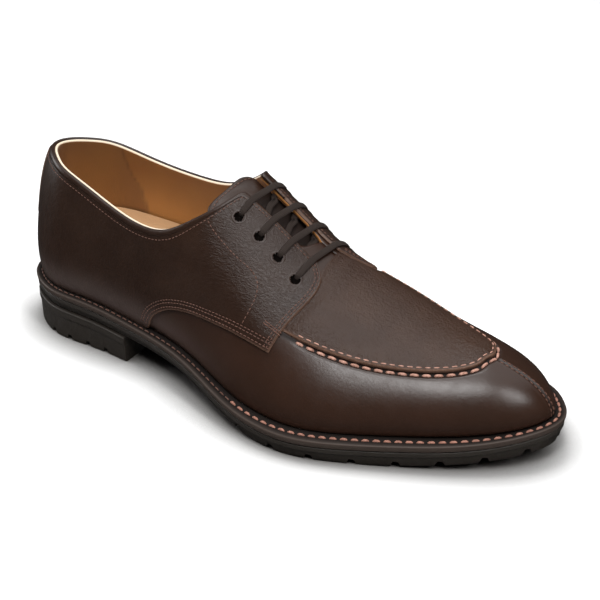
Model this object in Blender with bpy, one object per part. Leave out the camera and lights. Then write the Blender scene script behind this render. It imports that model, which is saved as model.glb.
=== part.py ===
"""Right derby shoe: an apron-front leather upper with open lacing, on a welt and a cleated rubber sole.

The shoe stands empty on its sole. Its toe points to +X and its medial (inner) side to +Y. The origin is on the
floor, under the middle of the welt's outline.

Lengths here are in millimetres. s runs from the heel edge of the welt to its toe edge, y is negative on the lateral
side and positive on the medial side, and z is the height over the floor. The place round the shoe, u, is 0 at the
middle of the heel's back, runs along the lateral side to TOE at the toe tip, and back along the medial side to ROUND.
On the upper, t is 0 at the welt and 1 on the ridge of the instep.
"""

import math

import bpy
import numpy as np

MM = 0.001

# Driving sizes
LENGTH = 312.0
GAP = 0.3
WALL = 1.8
PANEL = 1.3
PANEL_LIFT = 0.5
# Length round the heel's back that one step of u spans
BACK_ARC = 30.0
WELT_THICK = 3.5
WELT_INSIDE = 6.0
WELT_UNDERCUT = 0.3
WELT_BEVEL = 0.85
OUTSOLE_HEEL = 6.5
INSOLE_THICK = 2.6
INSOLE_CLEAR = 0.7
INSOLE_BEVEL = 0.4
# Raised heel of the insole: how much thicker it is there, how far its rim turns up, and where both end
HEEL_BED = 13.0
HEEL_CUP = 8.0
BED_FROM = 75.0
BED_TO = 155.0
HEEL_BREAST = 80.0
TOE_SPRING = 9.8
# Side of the outsole and of the heel: how far each line stands in from the welt's edge, and where the steps lie
RIM_INSET = 0.6
STEP_INSET = 1.2
TREAD_INSET = 3.2
TREAD_ROUND = 1.2
SIDE_STEP = 2.4
STEP_FALL = 0.5
HEEL_LINE = 4.0
HEEL_STEP_INSET = 1.1
HEEL_TREAD_INSET = 2.2
HEEL_ROUND = 0.8
FLAT_FROM = 193.0
FLAT_TO = 230.0
LACE_WIDTH = 3.4
LACE_THICK = 1.3
HOLE_WIDTH = 5.0
TONGUE_THICK = 1.8
TONGUE_LATERAL = 30.0
TONGUE_MEDIAL = 15.0
TONGUE_CORNER = 0.22
PIN_BELOW = 5.0
PIN_ABOVE = 6.0
APRON_CLEAR = 1.0
TOE_FAN = 1.6
# Makes the peak of rise times the fifth power of its complement equal to one
SWELL_SCALE = 14.9


def named_table(columns, rows):
    """The rows as one array for each named column."""
    return dict(zip(columns, np.array(rows, float).T))


# Plan of the shoe, a row for each section from the heel's back to the toe tip. A rib leaves the section's centre at
# its turn from straight ahead and reaches the welt's edge. The upper stands back from that edge by the lap.
PLAN = named_table(
    ("centre", "turn", "middle", "lateral", "medial", "lap_lateral", "lap_medial"),
    [
        (42.5, 180.0, 0.0, 43.2, 43.2, 6.4, 6.4),
        (45.0, 138.0, 0.0, 37.4, 38.3, 6.3, 6.2),
        (51.0, 96.0, 0.0, 32.7, 35.6, 6.2, 5.8),
        (85.0, 90.0, 0.6, 37.4, 34.6, 6.0, 5.0),
        (122.0, 90.0, 3.0, 49.2, 30.0, 6.5, 4.5),
        (155.0, 90.0, 5.0, 65.0, 30.8, 7.5, 4.8),
        (180.0, 89.5, 6.2, 73.3, 34.2, 8.2, 5.5),
        (201.0, 88.0, 7.0, 74.4, 37.7, 8.5, 6.5),
        (223.0, 84.0, 6.5, 66.0, 40.8, 8.5, 7.5),
        (245.0, 72.0, 2.0, 51.0, 45.2, 8.0, 7.5),
        (259.0, 47.0, -2.4, 41.5, 47.0, 7.0, 7.0),
        (262.0, 22.0, -3.7, 44.1, 48.4, 6.3, 6.5),
        (263.0, 0.0, -3.7, 49.3, 49.3, 6.0, 6.0),
    ],
)
# Form of the upper at the same sections: height of the ridge (behind the facings it is only a guide over the
# collar), fullness of the two walls and of the crown, and how far the leather bulges over the welt.
FORM = named_table(
    ("ridge", "wall_lateral", "wall_medial", "crown", "bulge"),
    [
        (118.5, 2.00, 2.00, 3.00, 2.0),
        (120.0, 2.00, 2.00, 3.00, 2.2),
        (131.0, 2.00, 2.00, 2.90, 2.0),
        (137.0, 2.00, 2.00, 2.60, 1.5),
        (120.0, 1.90, 2.30, 2.00, 2.0),
        (95.0, 1.90, 2.90, 1.75, 1.5),
        (76.0, 1.80, 2.80, 1.70, 1.2),
        (65.4, 1.75, 2.50, 1.70, 1.0),
        (57.8, 1.80, 2.40, 1.80, 1.0),
        (51.2, 2.00, 2.30, 2.00, 1.0),
        (48.6, 2.05, 2.20, 2.10, 1.0),
        (48.3, 2.05, 2.10, 2.10, 1.0),
        (48.2, 2.05, 2.05, 2.10, 1.0),
    ],
)
# Slope of the ridge along the shoe, which the ribs that fan round the toe follow beside it
RIDGE_FALL = named_table(("s", "slope"), [(190, 0), (223, -0.32), (245, -0.24), (259, -0.14), (263, -0.12)])
WELT_TOP = named_table(
    ("s", "z"),
    [(0, 28.3), (47, 27.9), (87, 25.0), (127, 21.4), (167, 14.0), (207, 12.0), (247, 13.5), (282, 16.8), (312, 22.3)],
)
ARCH = named_table(
    ("s", "z"), [(80, 15.2), (105, 13.6), (127, 11.3), (150, 6.6), (167, 3.0), (180, 0.9), (FLAT_FROM, 0.0)]
)
COLLAR_LATERAL = named_table(
    ("s", "z"),
    [(8, 102.5), (25, 100.5), (45, 95), (70, 86.2), (95, 81.2), (108, 83), (122, 90.5), (137, 100.5), (150, 112)],
)
COLLAR_MEDIAL = named_table(
    ("s", "z"),
    [(8, 102.5), (25, 100.5), (45, 95), (70, 89), (95, 87), (110, 88.5), (123, 93.5), (137, 103), (150, 115)],
)
# Slot between the facings: half its width, and how far its middle lies to the lateral side of the ridge
SLOT_HALF = named_table(("s", "half"), [(135, 8.2), (150, 7.1), (170, 7.6), (190, 8.0)])
SLOT_ASIDE = 5.6
# How far, in t, the facings' top corners are rounded off
CORNER_ROUND = 0.022
SLOT_END = 176.0
# Lower edge of the quarters: it climbs from the welt at the waist, arches over and runs down to the front tip
QUARTER_EDGE = named_table(
    ("s", "z"),
    [(92, 8), (97, 26.5), (104, 37.3), (111, 42), (119, 45), (130, 47), (142, 47.5), (155, 47), (167, 45), (192, 38.3)],
)
# Front edge of each quarter, from the tip up to the slot: the medial one stands further ahead
FRONT_LATERAL = named_table(
    ("share", "s"),
    [(0, 178.2), (0.28, 181.8), (0.52, 185.8), (0.70, 187.8), (0.80, 187.8), (0.90, 186), (1.0, 180.5)],
)
FRONT_MEDIAL = named_table(
    ("share", "s"),
    [(0, 190.5), (0.28, 194), (0.52, 198), (0.70, 200), (0.80, 199.3), (0.90, 195.5), (1.0, 184)],
)
THROAT_SHARE = 0.75
FRONT_GUESS = 186.0
# Apron seam: its t at the sections from the quarters' front edge round the toe
APRON = named_table(
    ("u", "t"),
    [(5, 0.45), (6, 0.46), (7, 0.47), (8, 0.472), (9, 0.542), (10, 0.682), (11, 0.79), (12, 0.815), (13, 0.80),
     (14, 0.775), (15, 0.775), (16, 0.77), (17, 0.765), (18, 0.765), (19, 0.765)],
)
# Lace holes of both facings, from the top, with their distance from the middle of the slot
LACE_HOLES = named_table(
    ("lateral", "reach", "medial", "medial_reach"),
    [(143.8, 17.4, 149.4, 17.6), (155.4, 18.5, 160.6, 18.6), (166.4, 20.1, 172, 19.6), (177.2, 22.6, 183.4, 20.6)],
)
# How far the tongue lies below the upper's inner face
TONGUE_DEPTH = named_table(("s", "below"), [(146, 2.6), (178, 2.6), (189, 0.7)])
# Free end of the tongue, from its lateral to its medial corner
TONGUE_END = named_table(
    ("across", "s", "y", "z"),
    [
        (0, 126.5, -22.5, 90),
        (0.25, 125.4, -17, 96),
        (0.5, 127.5, -4.5, 100.3),
        (0.75, 130, 4, 103.5),
        (1, 133, 10.5, 104),
    ],
)

TOE = len(PLAN["centre"]) - 1
ROUND = 2 * TOE
# Between these sections the ribs run across the shoe, and outside them they fan round the heel and the toe
FIRST_ACROSS = 2
LAST_ACROSS = 9
# Columns of the upper's grid by the place they have reached, closest beside the throat
UPPER_SPANS = named_table(("column", "u"), [(0, 0), (11, 3.5), (21, 5.5), (41, TOE)])
FACING_COLUMN = 21
# Further columns of the quarters, where their lower edge climbs
ARCH_COLUMNS = (93, 97, 104)
FRONT_COLUMNS = 6
UPPER_LEVELS = 10
SOLE_COLUMNS = 60

# Lugs
LUG_PITCH = 20.0
LUG_NOTCH = 5.5
LUG_DEPTH = 3.2
LUG_REACH = 11.0
LUG_FROM = 168.0
GROOVE_WIDTH = 4.5
GROOVE_MARGIN = 18.0
GROOVES_TO = 275.0
CUT_OUTSIDE = 4.0
CUT_FLOOR = -5.0
# How far below the tread a notch's cut starts, and the share of its width left at its roof
NOTCH_BELOW = 4.5
NOTCH_TAPER = 0.45
HEEL_NOTCHES = (26.0, 39.0, 52.0, 65.0)
HEEL_NOTCH = 4.5
HEEL_NOTCH_REACH = 7.0


# Curves

def cubic_bends(left, middle, right, bends):
    """Solves for a spline's second derivatives from its three diagonals."""
    system = np.diag(middle) + np.diag(left, -1) + np.diag(right, 1)
    return np.linalg.solve(system, bends)


def through(table, at):
    """Natural cubic spline through a table's two columns, held level past its ends."""
    x, y = table.values()
    step = np.diff(x)
    slope = np.diff(y) / step
    middle = np.concatenate([[1], 2 * (step[:-1] + step[1:]), [1]])
    bend = cubic_bends(
        np.append(step[:-1], 0), middle, np.insert(step[1:], 0, 0), np.concatenate([[0], 6 * np.diff(slope), [0]])
    )
    at = np.clip(at, x[0], x[-1])
    i = np.clip(np.searchsorted(x, at) - 1, 0, len(step) - 1)
    f = (at - x[i]) / step[i]
    g = 1 - f
    return g * y[i] + f * y[i + 1] + ((g**3 - g) * bend[i] + (f**3 - f) * bend[i + 1]) * step[i] ** 2 / 6


def round_the_shoe(lateral, medial, u):
    """Periodic cubic spline through a value at each section of both sides."""
    y = np.concatenate([lateral, medial[-2:0:-1]])
    ring = np.eye(ROUND)
    system = 4 * ring + np.roll(ring, 1, 1) + np.roll(ring, -1, 1)
    bend = np.linalg.solve(system, 6 * (np.roll(y, 1) - 2 * y + np.roll(y, -1)))
    u = np.mod(u, ROUND)
    i = np.floor(u).astype(int) % ROUND
    j = (i + 1) % ROUND
    f = u - np.floor(u)
    g = 1 - f
    return g * y[i] + f * y[j] + ((g**3 - g) * bend[i] + (f**3 - f) * bend[j]) / 6


def soft_min(a, b, blend):
    """The smaller of two values, with the corner between them rounded."""
    return -blend * np.logaddexp(-a / blend, -b / blend)


# The last: plan and form

def rib(u):
    """Centre of the rib along the shoe and across it, and its direction in plan."""
    u = np.asarray(u, float)
    centre = round_the_shoe(PLAN["centre"], PLAN["centre"], u)
    middle = round_the_shoe(PLAN["middle"], PLAN["middle"], u)
    uneven = 180 - PLAN["turn"] - np.arange(TOE + 1) * 180 / TOE
    turn = np.radians(180 + 180 * u / TOE + round_the_shoe(uneven, -uneven, u))
    return centre, middle, np.cos(turn), np.sin(turn)


def welt_edge(u):
    centre, middle, ahead, aside = rib(u)
    reach = round_the_shoe(PLAN["lateral"], PLAN["medial"], u)
    return np.stack([centre + reach * ahead, middle + reach * aside], -1)


def outline(u, inset):
    """The welt's outline moved in by the inset along its own normal."""
    ahead = welt_edge(u + 0.01) - welt_edge(u - 0.01)
    ahead /= np.linalg.norm(ahead, axis=-1, keepdims=True)
    outward = np.stack([ahead[:, 1], -ahead[:, 0]], -1)
    return welt_edge(u) - outward * np.broadcast_to(inset, u.shape)[:, None]


def lap(u):
    return round_the_shoe(PLAN["lap_lateral"], PLAN["lap_medial"], u)


def upper_point(u, t):
    """Outer face of the upper: a rounded arch over each rib, from the welt to the ridge."""
    u, t = np.broadcast_arrays(np.asarray(u, float), np.asarray(t, float))
    centre, middle, ahead, aside = rib(u)
    reach = round_the_shoe(PLAN["lateral"], PLAN["medial"], u) - lap(u)
    ridge, crown, bulge = (round_the_shoe(FORM[name], FORM[name], u) for name in ("ridge", "crown", "bulge"))
    wall = round_the_shoe(FORM["wall_lateral"], FORM["wall_medial"], u)
    foot = through(WELT_TOP, centre + reach * ahead) + GAP
    angle = np.clip(t, 0, 1) * np.pi / 2
    rise = np.sin(angle) ** (2 / crown)
    swell = bulge * SWELL_SCALE * rise * (1 - rise) ** 5
    out = reach * np.clip(np.cos(angle), 0, 1) ** (2 / wall) + swell
    fall = np.interp(centre, *RIDGE_FALL.values()) * ahead * out * rise**3
    return np.stack([centre + out * ahead, middle + out * aside, foot + (ridge - foot) * rise + fall], -1)


def outward(u, t):
    """Outward normal of the upper's face, taken just below the ridge where the point is on it."""
    t = np.clip(t, 0, 0.985)
    along = upper_point(u + 0.02, t) - upper_point(u - 0.02, t)
    upward = upper_point(u, t + 0.01) - upper_point(u, np.maximum(t - 0.01, 0))
    normal = np.cross(along, upward)
    return normal / np.linalg.norm(normal, axis=-1, keepdims=True)


def upper_face(u, t, out):
    """The upper's outer face moved out along its normal, and never below its foot on the welt.

    On the ridge the normals of the two sides are averaged, so that both sides meet there.
    """
    u, t = np.broadcast_arrays(np.asarray(u, float), np.asarray(t, float))
    normal = outward(u, t)
    on_ridge = (t >= 1)[..., None]
    normal = np.where(on_ridge, normal + outward(ROUND - u, t), normal)
    normal /= np.linalg.norm(normal, axis=-1, keepdims=True)
    moved = upper_point(u, t) + normal * np.asarray(out)[..., None]
    foot = upper_point(u, 0)[..., 2]
    moved[..., 2] = np.where(t <= 0, foot, np.maximum(moved[..., 2], foot))
    return moved


def find_t(u, is_below):
    """The t on each rib where a test of its point turns from true to false."""
    low, high = np.zeros_like(u), np.ones_like(u)
    for _ in range(24):
        t = (low + high) / 2
        below = is_below(upper_point(u, t))
        low, high = np.where(below, t, low), np.where(below, high, t)
    return (low + high) / 2


def t_at_height(u, table):
    return find_t(u, lambda p: p[..., 2] < through(table, p[..., 0]))


def t_at_reach(u, reach):
    centre, middle, _, _ = rib(u)
    return find_t(u, lambda p: np.hypot(p[..., 0] - centre, p[..., 1] - middle) > reach)


def u_at(place):
    """Lateral u of the rib whose centre is at a place along the shoe."""
    u = np.linspace(FIRST_ACROSS, LAST_ACROSS, 701)
    return np.interp(place, rib(u)[0], u)


def to_ridge(u, from_slot):
    """Turns a distance from the slot's middle into a rib's reach from the ridge."""
    return from_slot + np.where(np.asarray(u) > TOE, -SLOT_ASIDE, SLOT_ASIDE)


def slot_reach(u):
    return to_ridge(u, through(SLOT_HALF, rib(u)[0]))


def top_edge(u):
    """t of the collar and of the facing's edge along the slot."""
    collar = np.where(u > TOE, t_at_height(u, COLLAR_MEDIAL), t_at_height(u, COLLAR_LATERAL))
    return soft_min(collar, t_at_reach(u, slot_reach(u)), CORNER_ROUND)


# Heights of the sole

def welt_top(s):
    return through(WELT_TOP, s)


def outsole_top(s):
    return welt_top(s) - WELT_THICK - GAP


def outsole_bottom(s):
    """Heel seat, then the arch down to the flat tread, then the toe spring."""
    seat = outsole_top(s) - OUTSOLE_HEEL
    toe = TOE_SPRING * (np.clip(s - FLAT_TO, 0, None) / (LENGTH - FLAT_TO)) ** 1.7
    front = np.where(s < FLAT_FROM, through(ARCH, s), toe)
    return np.where(s < HEEL_BREAST, seat, front)


# Meshes

def grid_faces(columns, levels, closed):
    """Quads of a grid of points numbered column by column."""
    index = np.arange(columns * levels).reshape(columns, levels)
    if closed:
        index = np.vstack([index, index[:1]])
    corners = (index[:-1, :-1], index[1:, :-1], index[1:, 1:], index[:-1, 1:])
    return np.stack(corners, -1).reshape(-1, 4)


def weld(points, faces):
    """Merges points that coincide, and drops the corners and faces that vanish."""
    _, index = np.unique(np.round(points, 3), axis=0, return_inverse=True)
    index = index.reshape(-1)
    merged = np.zeros((index.max() + 1, points.shape[1]))
    np.add.at(merged, index, points)
    merged /= np.bincount(index)[:, None]
    kept = []
    for face in faces:
        corners = [index[v] for v in face]
        corners = [v for k, v in enumerate(corners) if v != corners[k - 1]]
        if len(corners) > 2:
            kept.append(corners)
    return merged, kept, index


def in_triangles(points, faces):
    """Splits each quad along its shorter diagonal, so that sheets on one grid are split alike."""
    split = []
    for face in faces:
        if len(face) == 3:
            split.append(face)
            continue
        a, b, c, d = face
        if np.linalg.norm(points[a] - points[c]) < np.linalg.norm(points[b] - points[d]):
            split += [[a, b, c], [a, c, d]]
        else:
            split += [[a, b, d], [b, c, d]]
    return split


def thick_sheet(outer, inner, closed):
    """A sheet between two faces, with a rim along each free edge."""
    columns, levels = outer.shape[:2]
    merged, faces, index = weld(outer.reshape(-1, 3), grid_faces(columns, levels, closed))
    faces = in_triangles(merged, faces)
    count = len(merged)
    inside = np.zeros_like(merged)
    np.add.at(inside, index, inner.reshape(-1, 3))
    inside /= np.bincount(index)[:, None]
    edges = {(face[k - 1], face[k]) for face in faces for k in range(len(face))}
    rims = [[b, a, a + count, b + count] for a, b in sorted(edges) if (b, a) not in edges]
    backs = [[v + count for v in reversed(face)] for face in faces]
    return np.vstack([merged, inside]), faces + backs + rims


def centre_line(u):
    centre, middle, _, _ = rib(u)
    return np.stack([centre, middle], -1)


def inner_ring(u):
    """Outline of the welt's inner edge."""
    return outline(u, lap(u) + WELT_INSIDE)


def half_way(u):
    return (inner_ring(u) + centre_line(u)) / 2


def stacked(stops):
    """Points of a loft round the shoe, from stops that are each an outline and a height along the shoe."""
    return np.stack([np.column_stack([plan, height(plan[:, 0])]) for plan, height in stops], 1)


ALL_ROUND = np.linspace(0, ROUND, 481)
MID_WIDTH = (welt_edge(ALL_ROUND)[:, 1].min() + welt_edge(ALL_ROUND)[:, 1].max()) / 2
MID_LENGTH = (welt_edge(ALL_ROUND)[:, 0].min() + welt_edge(ALL_ROUND)[:, 0].max()) / 2


def add_object(name, points, faces, material):
    mesh = bpy.data.meshes.new(name)
    placed = (points - (MID_LENGTH, MID_WIDTH, 0)) * MM
    mesh.from_pydata(placed.tolist(), [], [[int(v) for v in face] for face in faces])
    mesh.shade_smooth()
    mesh.set_sharp_from_angle(angle=math.radians(40))
    if material:
        mesh.materials.append(material)
    made = bpy.data.objects.new(name, mesh)
    bpy.context.scene.collection.objects.link(made)
    return made


def add_cutter(name, points, faces):
    cutter = add_object(name, points, faces, None)
    cutter.hide_render = True
    cutter.display_type = "WIRE"
    return cutter


def cut(target, cutter):
    modifier = target.modifiers.new("cut", "BOOLEAN")
    modifier.operation = "DIFFERENCE"
    modifier.object = cutter


def boxes(corners):
    """Closed boxes, each from four corners of its floor and four of its roof, in the same turn."""
    sides = [[0, 3, 2, 1], [4, 5, 6, 7], [0, 1, 5, 4], [1, 2, 6, 5], [2, 3, 7, 6], [3, 0, 4, 7]]
    faces = [[v + 8 * k for v in side] for k in range(len(corners)) for side in sides]
    return np.concatenate(corners), faces


def material(name, colour, roughness):
    made = bpy.data.materials.new(name)
    made.use_nodes = True
    shader = made.node_tree.nodes["Principled BSDF"]
    shader.inputs["Base Color"].default_value = (*colour, 1)
    shader.inputs["Roughness"].default_value = roughness
    return made


# Leather pieces

def side_columns():
    return np.interp(np.arange(UPPER_SPANS["column"][-1] + 1), *UPPER_SPANS.values())


def upper_columns():
    return np.concatenate([side_columns(), ROUND - side_columns()[-2:0:-1]])


def upper_top(u):
    """t of the upper's top edge: the collar, the slot with its round end, then the closed ridge of the vamp."""
    centre = rib(u)[0]
    half = through(SLOT_HALF, centre)
    into = np.clip((centre - SLOT_END + half) / half, 0, 1)
    rounded = t_at_reach(u, slot_reach(u) * np.sqrt(1 - into**2))
    slotted = np.where(into > 0, rounded, top_edge(u))
    return np.where(np.minimum(u, ROUND - u) < u_at(SLOT_END), slotted, 1.0)


def make_upper(leather):
    u = upper_columns()
    t = upper_top(u)[:, None] * np.linspace(0, 1, UPPER_LEVELS + 1)
    columns = np.broadcast_to(u[:, None], t.shape)
    points, faces = thick_sheet(upper_face(columns, t, 0), upper_face(columns, t, -WALL), True)
    return add_object("upper", points, faces, leather)


def quarter_grid(place):
    """u and t over one quarter, from its back seam to its front edge.

    Its rows are those of the upper below it, held between the quarter's lower edge and its top edge.
    """
    share = np.linspace(0, 1, UPPER_LEVELS + 1)

    def row_heights(u):
        low, high = t_at_height(place(u), QUARTER_EDGE), top_edge(place(u))
        return low, high, np.clip(upper_top(place(u)) * share, low, high)

    front = np.full_like(share, u_at(FRONT_GUESS))
    for _ in range(4):
        low, high, t = row_heights(front)
        front = u_at(through(front_of(place), (t - low) / (high - low)))
    back_seam = GAP / 2 / BACK_ARC
    waist = u_at(np.array(ARCH_COLUMNS))
    behind = np.sort(np.concatenate([[back_seam], side_columns()[1:FACING_COLUMN], waist]))[:, None] + 0 * share
    start = side_columns()[FACING_COLUMN]
    u = np.vstack([behind, start + np.linspace(0, 1, FRONT_COLUMNS)[:, None] * (front - start)])
    return place(u), row_heights(u)[2]


def make_quarter(name, place, leather):
    u, t = quarter_grid(place)
    if u[0, 0] > TOE:
        u, t = u[::-1], t[::-1]
    faces = (upper_face(u, t, PANEL_LIFT + PANEL), upper_face(u, t, PANEL_LIFT))
    return add_object(name, *thick_sheet(*faces, False), leather)


def lateral_side(u):
    return u


def medial_side(u):
    return ROUND - u


def front_of(place):
    return FRONT_LATERAL if place is lateral_side else FRONT_MEDIAL


def quarter_front_u(place, t):
    """Lateral u of a quarter's front edge at each t, held ahead of the lateral throat corner above that corner."""
    corner = through(FRONT_LATERAL, THROAT_SHARE)
    ahead = np.full_like(t, u_at(FRONT_GUESS))
    for _ in range(4):
        u = place(ahead)
        low, high = t_at_height(u, QUARTER_EDGE), top_edge(u)
        share = np.minimum((t - low) / (high - low), 1)
        edge = through(front_of(place), share)
        ahead = u_at(np.where(share > THROAT_SHARE, np.maximum(edge, corner), edge))
    return ahead


def make_apron(leather):
    """The plug: from the seam to the ridge on every rib ahead of the quarters' front edge.

    The ribs nearest the toe tip all end in the tip's own point of the ridge.
    """
    share = np.linspace(0, 1, 7)
    toe = np.linspace(LAST_ACROSS, TOE, 13)[:, None] + 0 * share
    halves = []
    for place in (lateral_side, medial_side):
        seam = through(APRON, place(u_at(FRONT_GUESS)))
        edge = quarter_front_u(place, seam + (1 - seam) * share)
        edge += u_at(FRONT_GUESS + APRON_CLEAR) - u_at(FRONT_GUESS)
        side = edge + np.linspace(0, 1, 9)[:-1, None] * (LAST_ACROSS - edge)
        halves.append(place(np.vstack([side, toe])))
    u = np.vstack([halves[0], halves[1][-2::-1]])
    low = through(APRON, u)
    t = low + (1 - low) * share
    u[:, -1] = np.where(np.abs(u[:, -1] - TOE) < TOE_FAN, TOE, u[:, -1])
    faces = (upper_face(u, t, PANEL_LIFT + PANEL), upper_face(u, t, PANEL_LIFT))
    return add_object("apron", *thick_sheet(*faces, False), leather)


def make_tongue(leather):
    """A sheet under the facings that runs on behind them to a free end with rounded corners."""
    place = np.linspace(TONGUE_DEPTH["s"][0], TONGUE_DEPTH["s"][-1], 9)
    depth = WALL + np.interp(place, *TONGUE_DEPTH.values())[:, None]
    shares = np.linspace(1, 0, 6)

    def under_facings(extra):
        halves = []
        for u, widest in ((u_at(place), TONGUE_LATERAL), (ROUND - u_at(place), TONGUE_MEDIAL)):
            columns = np.broadcast_to(u[:, None], (len(u), len(shares)))
            t = t_at_reach(columns, widest * shares)
            halves.append(upper_face(columns, t, -(depth + extra) + 0 * t))
        return np.concatenate([halves[0], halves[1][:, -2::-1]], 1)

    outer, inner = under_facings(0), under_facings(TONGUE_THICK)
    across = np.linspace(0, 1, outer.shape[1])
    end = np.stack([through({"across": TONGUE_END["across"], name: TONGUE_END[name]}, across) for name in "syz"], -1)
    runs = np.linspace(1, 0, 6)[:-1, None] * (1 - TONGUE_CORNER * np.abs(2 * across - 1) ** 6)
    free = outer[0] + (end - outer[0]) * runs[..., None]
    faces = (np.concatenate([free, outer]), np.concatenate([free + inner[0] - outer[0], inner]))
    return add_object("tongue", *thick_sheet(*faces, False), leather)


def make_lace(name, hole, cloth):
    """One flat bar that follows the facings straight from hole to hole and bridges the slot between them."""
    lateral, reach, medial, medial_reach = hole
    half = through(SLOT_HALF, lateral)
    across = np.concatenate([np.linspace(reach, half, 5), -np.linspace(half, medial_reach, 5)])
    side = u_at(np.interp(-across, (-reach, medial_reach), (lateral, medial)))
    u = np.where(across > 0, side, ROUND - side)
    t = t_at_reach(u, to_ridge(u, np.abs(across)))
    lift = PANEL_LIFT + PANEL + GAP + LACE_THICK / 2
    path = upper_face(u, t, lift)
    upward = upper_face(u, t, lift + 1) - path
    ahead = np.gradient(path, axis=0)
    side = np.cross(ahead, upward)
    side /= np.linalg.norm(side, axis=1, keepdims=True)
    angle = np.radians(np.arange(0, 360, 60))
    wide = np.cos(angle)[:, None] * side[:, None] * LACE_WIDTH / 2
    thick = np.sin(angle)[:, None] * upward[:, None] * LACE_THICK / 2
    points = (path[:, None] + wide + thick).reshape(-1, 3)
    index = np.arange(len(points)).reshape(-1, len(angle))
    around = np.hstack([index, index[:, :1]])
    faces = np.stack([around[:-1, :-1], around[1:, :-1], around[1:, 1:], around[:-1, 1:]], -1).reshape(-1, 4)
    ends = [list(index[0]), list(index[-1][::-1])]
    return add_object(name, points, [list(face) for face in faces] + ends, cloth)


def lace_hole_cutter():
    """Eight-sided pins through both facings at every lace hole."""
    angle = np.radians(np.arange(0, 360, 45))
    points, faces = [], []
    for lateral, reach, medial, medial_reach in zip(*LACE_HOLES.values()):
        for u, from_slot in ((u_at(lateral), reach), (ROUND - u_at(medial), medial_reach)):
            here = np.array([u])
            t = t_at_reach(here, to_ridge(here, from_slot))
            middle = upper_point(here, t)[0]
            axis = upper_face(here, t, 1.0)[0] - middle
            side = np.cross(axis, [1.0, 0, 0])
            side /= np.linalg.norm(side)
            ring = HOLE_WIDTH / 2 * (np.cos(angle)[:, None] * side + np.sin(angle)[:, None] * np.cross(axis, side))
            first = 16 * len(points)
            points.append(np.vstack([middle - PIN_BELOW * axis + ring, middle + PIN_ABOVE * axis + ring]))
            faces += [[first + n, first + (n + 1) % 8, first + 8 + (n + 1) % 8, first + 8 + n] for n in range(8)]
            faces += [[first + 7 - n for n in range(8)], [first + 8 + n for n in range(8)]]
    return add_cutter("lace_hole_pins", np.concatenate(points), faces)


# Sole pieces

def sole_columns(count):
    return np.linspace(0, ROUND, count, endpoint=False)


def lofted(name, stops, finish):
    """A solid through closed outlines, from the middle of its floor, or round a ring, to where it began."""
    rows = stacked(stops)
    points, faces, _ = weld(rows.reshape(-1, 3), grid_faces(*rows.shape[:2], True))
    return add_object(name, points, faces, finish)


def welt_bottom(s):
    return welt_top(s) - WELT_THICK


def make_welt(leather):
    u = sole_columns(SOLE_COLUMNS)
    floor = [(inner_ring(u), welt_bottom), (outline(u, WELT_UNDERCUT), welt_bottom)]
    edge = [(outline(u, 0.0), lambda s: welt_top(s) - WELT_BEVEL), (outline(u, WELT_BEVEL), welt_top)]
    return lofted("welt", floor + edge + [(inner_ring(u), welt_top), floor[0]], leather)


def heel_share(s):
    """1 under the heel and 0 under the forefoot, with a soft change between them."""
    ahead = np.clip((s - BED_FROM) / (BED_TO - BED_FROM), 0, 1)
    return 1 - ahead * ahead * (3 - 2 * ahead)


def make_insole(leather):
    """A plate that fills the welt's ring and spreads over it inside the upper, raised and cupped under the heel."""
    u = sole_columns(SOLE_COLUMNS)
    inside = outline(u, lap(u) + WELT_INSIDE + GAP)
    wide = lap(u) + WALL + INSOLE_CLEAR

    def ledge(s):
        return welt_top(s) + GAP

    def top(s):
        return ledge(s) + INSOLE_THICK + HEEL_BED * heel_share(s)

    def rim(s):
        return top(s) + HEEL_CUP * heel_share(s)

    floor = [(centre_line(u), welt_bottom), (half_way(u), welt_bottom), (inside, welt_bottom)]
    step = [(inside, ledge), (outline(u, wide), ledge), (outline(u, wide + INSOLE_BEVEL), rim)]
    return lofted("insole", floor + step + [(half_way(u), top), (centre_line(u), top)], leather)


def make_outsole(rubber):
    """A plate with a moulded step round its side, an arch, a flat tread and a sprung toe."""
    u = sole_columns(SOLE_COLUMNS)
    floor = [(centre_line(u), outsole_bottom), (outline(u, TREAD_INSET), outsole_bottom)]
    side = [
        (outline(u, TREAD_INSET - TREAD_ROUND), lambda s: outsole_bottom(s) + TREAD_ROUND),
        (outline(u, STEP_INSET), lambda s: outsole_top(s) - SIDE_STEP - STEP_FALL),
        (outline(u, RIM_INSET), lambda s: outsole_top(s) - SIDE_STEP),
        (outline(u, RIM_INSET), outsole_top),
    ]
    top = [(inner_ring(u), outsole_top), (half_way(u), outsole_top), (centre_line(u), outsole_top)]
    return lofted("outsole", floor + side + top, rubber)


def notch_box(u, width, reach, tread):
    """A box across the sole's edge at u, open to the outside and to the floor and narrower towards its roof."""
    edge, inner = outline(np.array([u]), -CUT_OUTSIDE)[0], outline(np.array([u]), reach)[0]
    inward = (inner - edge) / np.linalg.norm(inner - edge)
    aside = np.array([-inward[1], inward[0]]) * width / 2
    wider = 1 + (1 - NOTCH_TAPER) * NOTCH_BELOW / LUG_DEPTH
    levels = []
    for half, z in ((aside * wider, tread - NOTCH_BELOW), (aside * NOTCH_TAPER, tread + LUG_DEPTH)):
        corners = np.array([edge - half, inner - half, inner + half, edge + half])
        levels.append(np.column_stack([corners, np.full(4, z)]))
    return np.vstack(levels)


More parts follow.
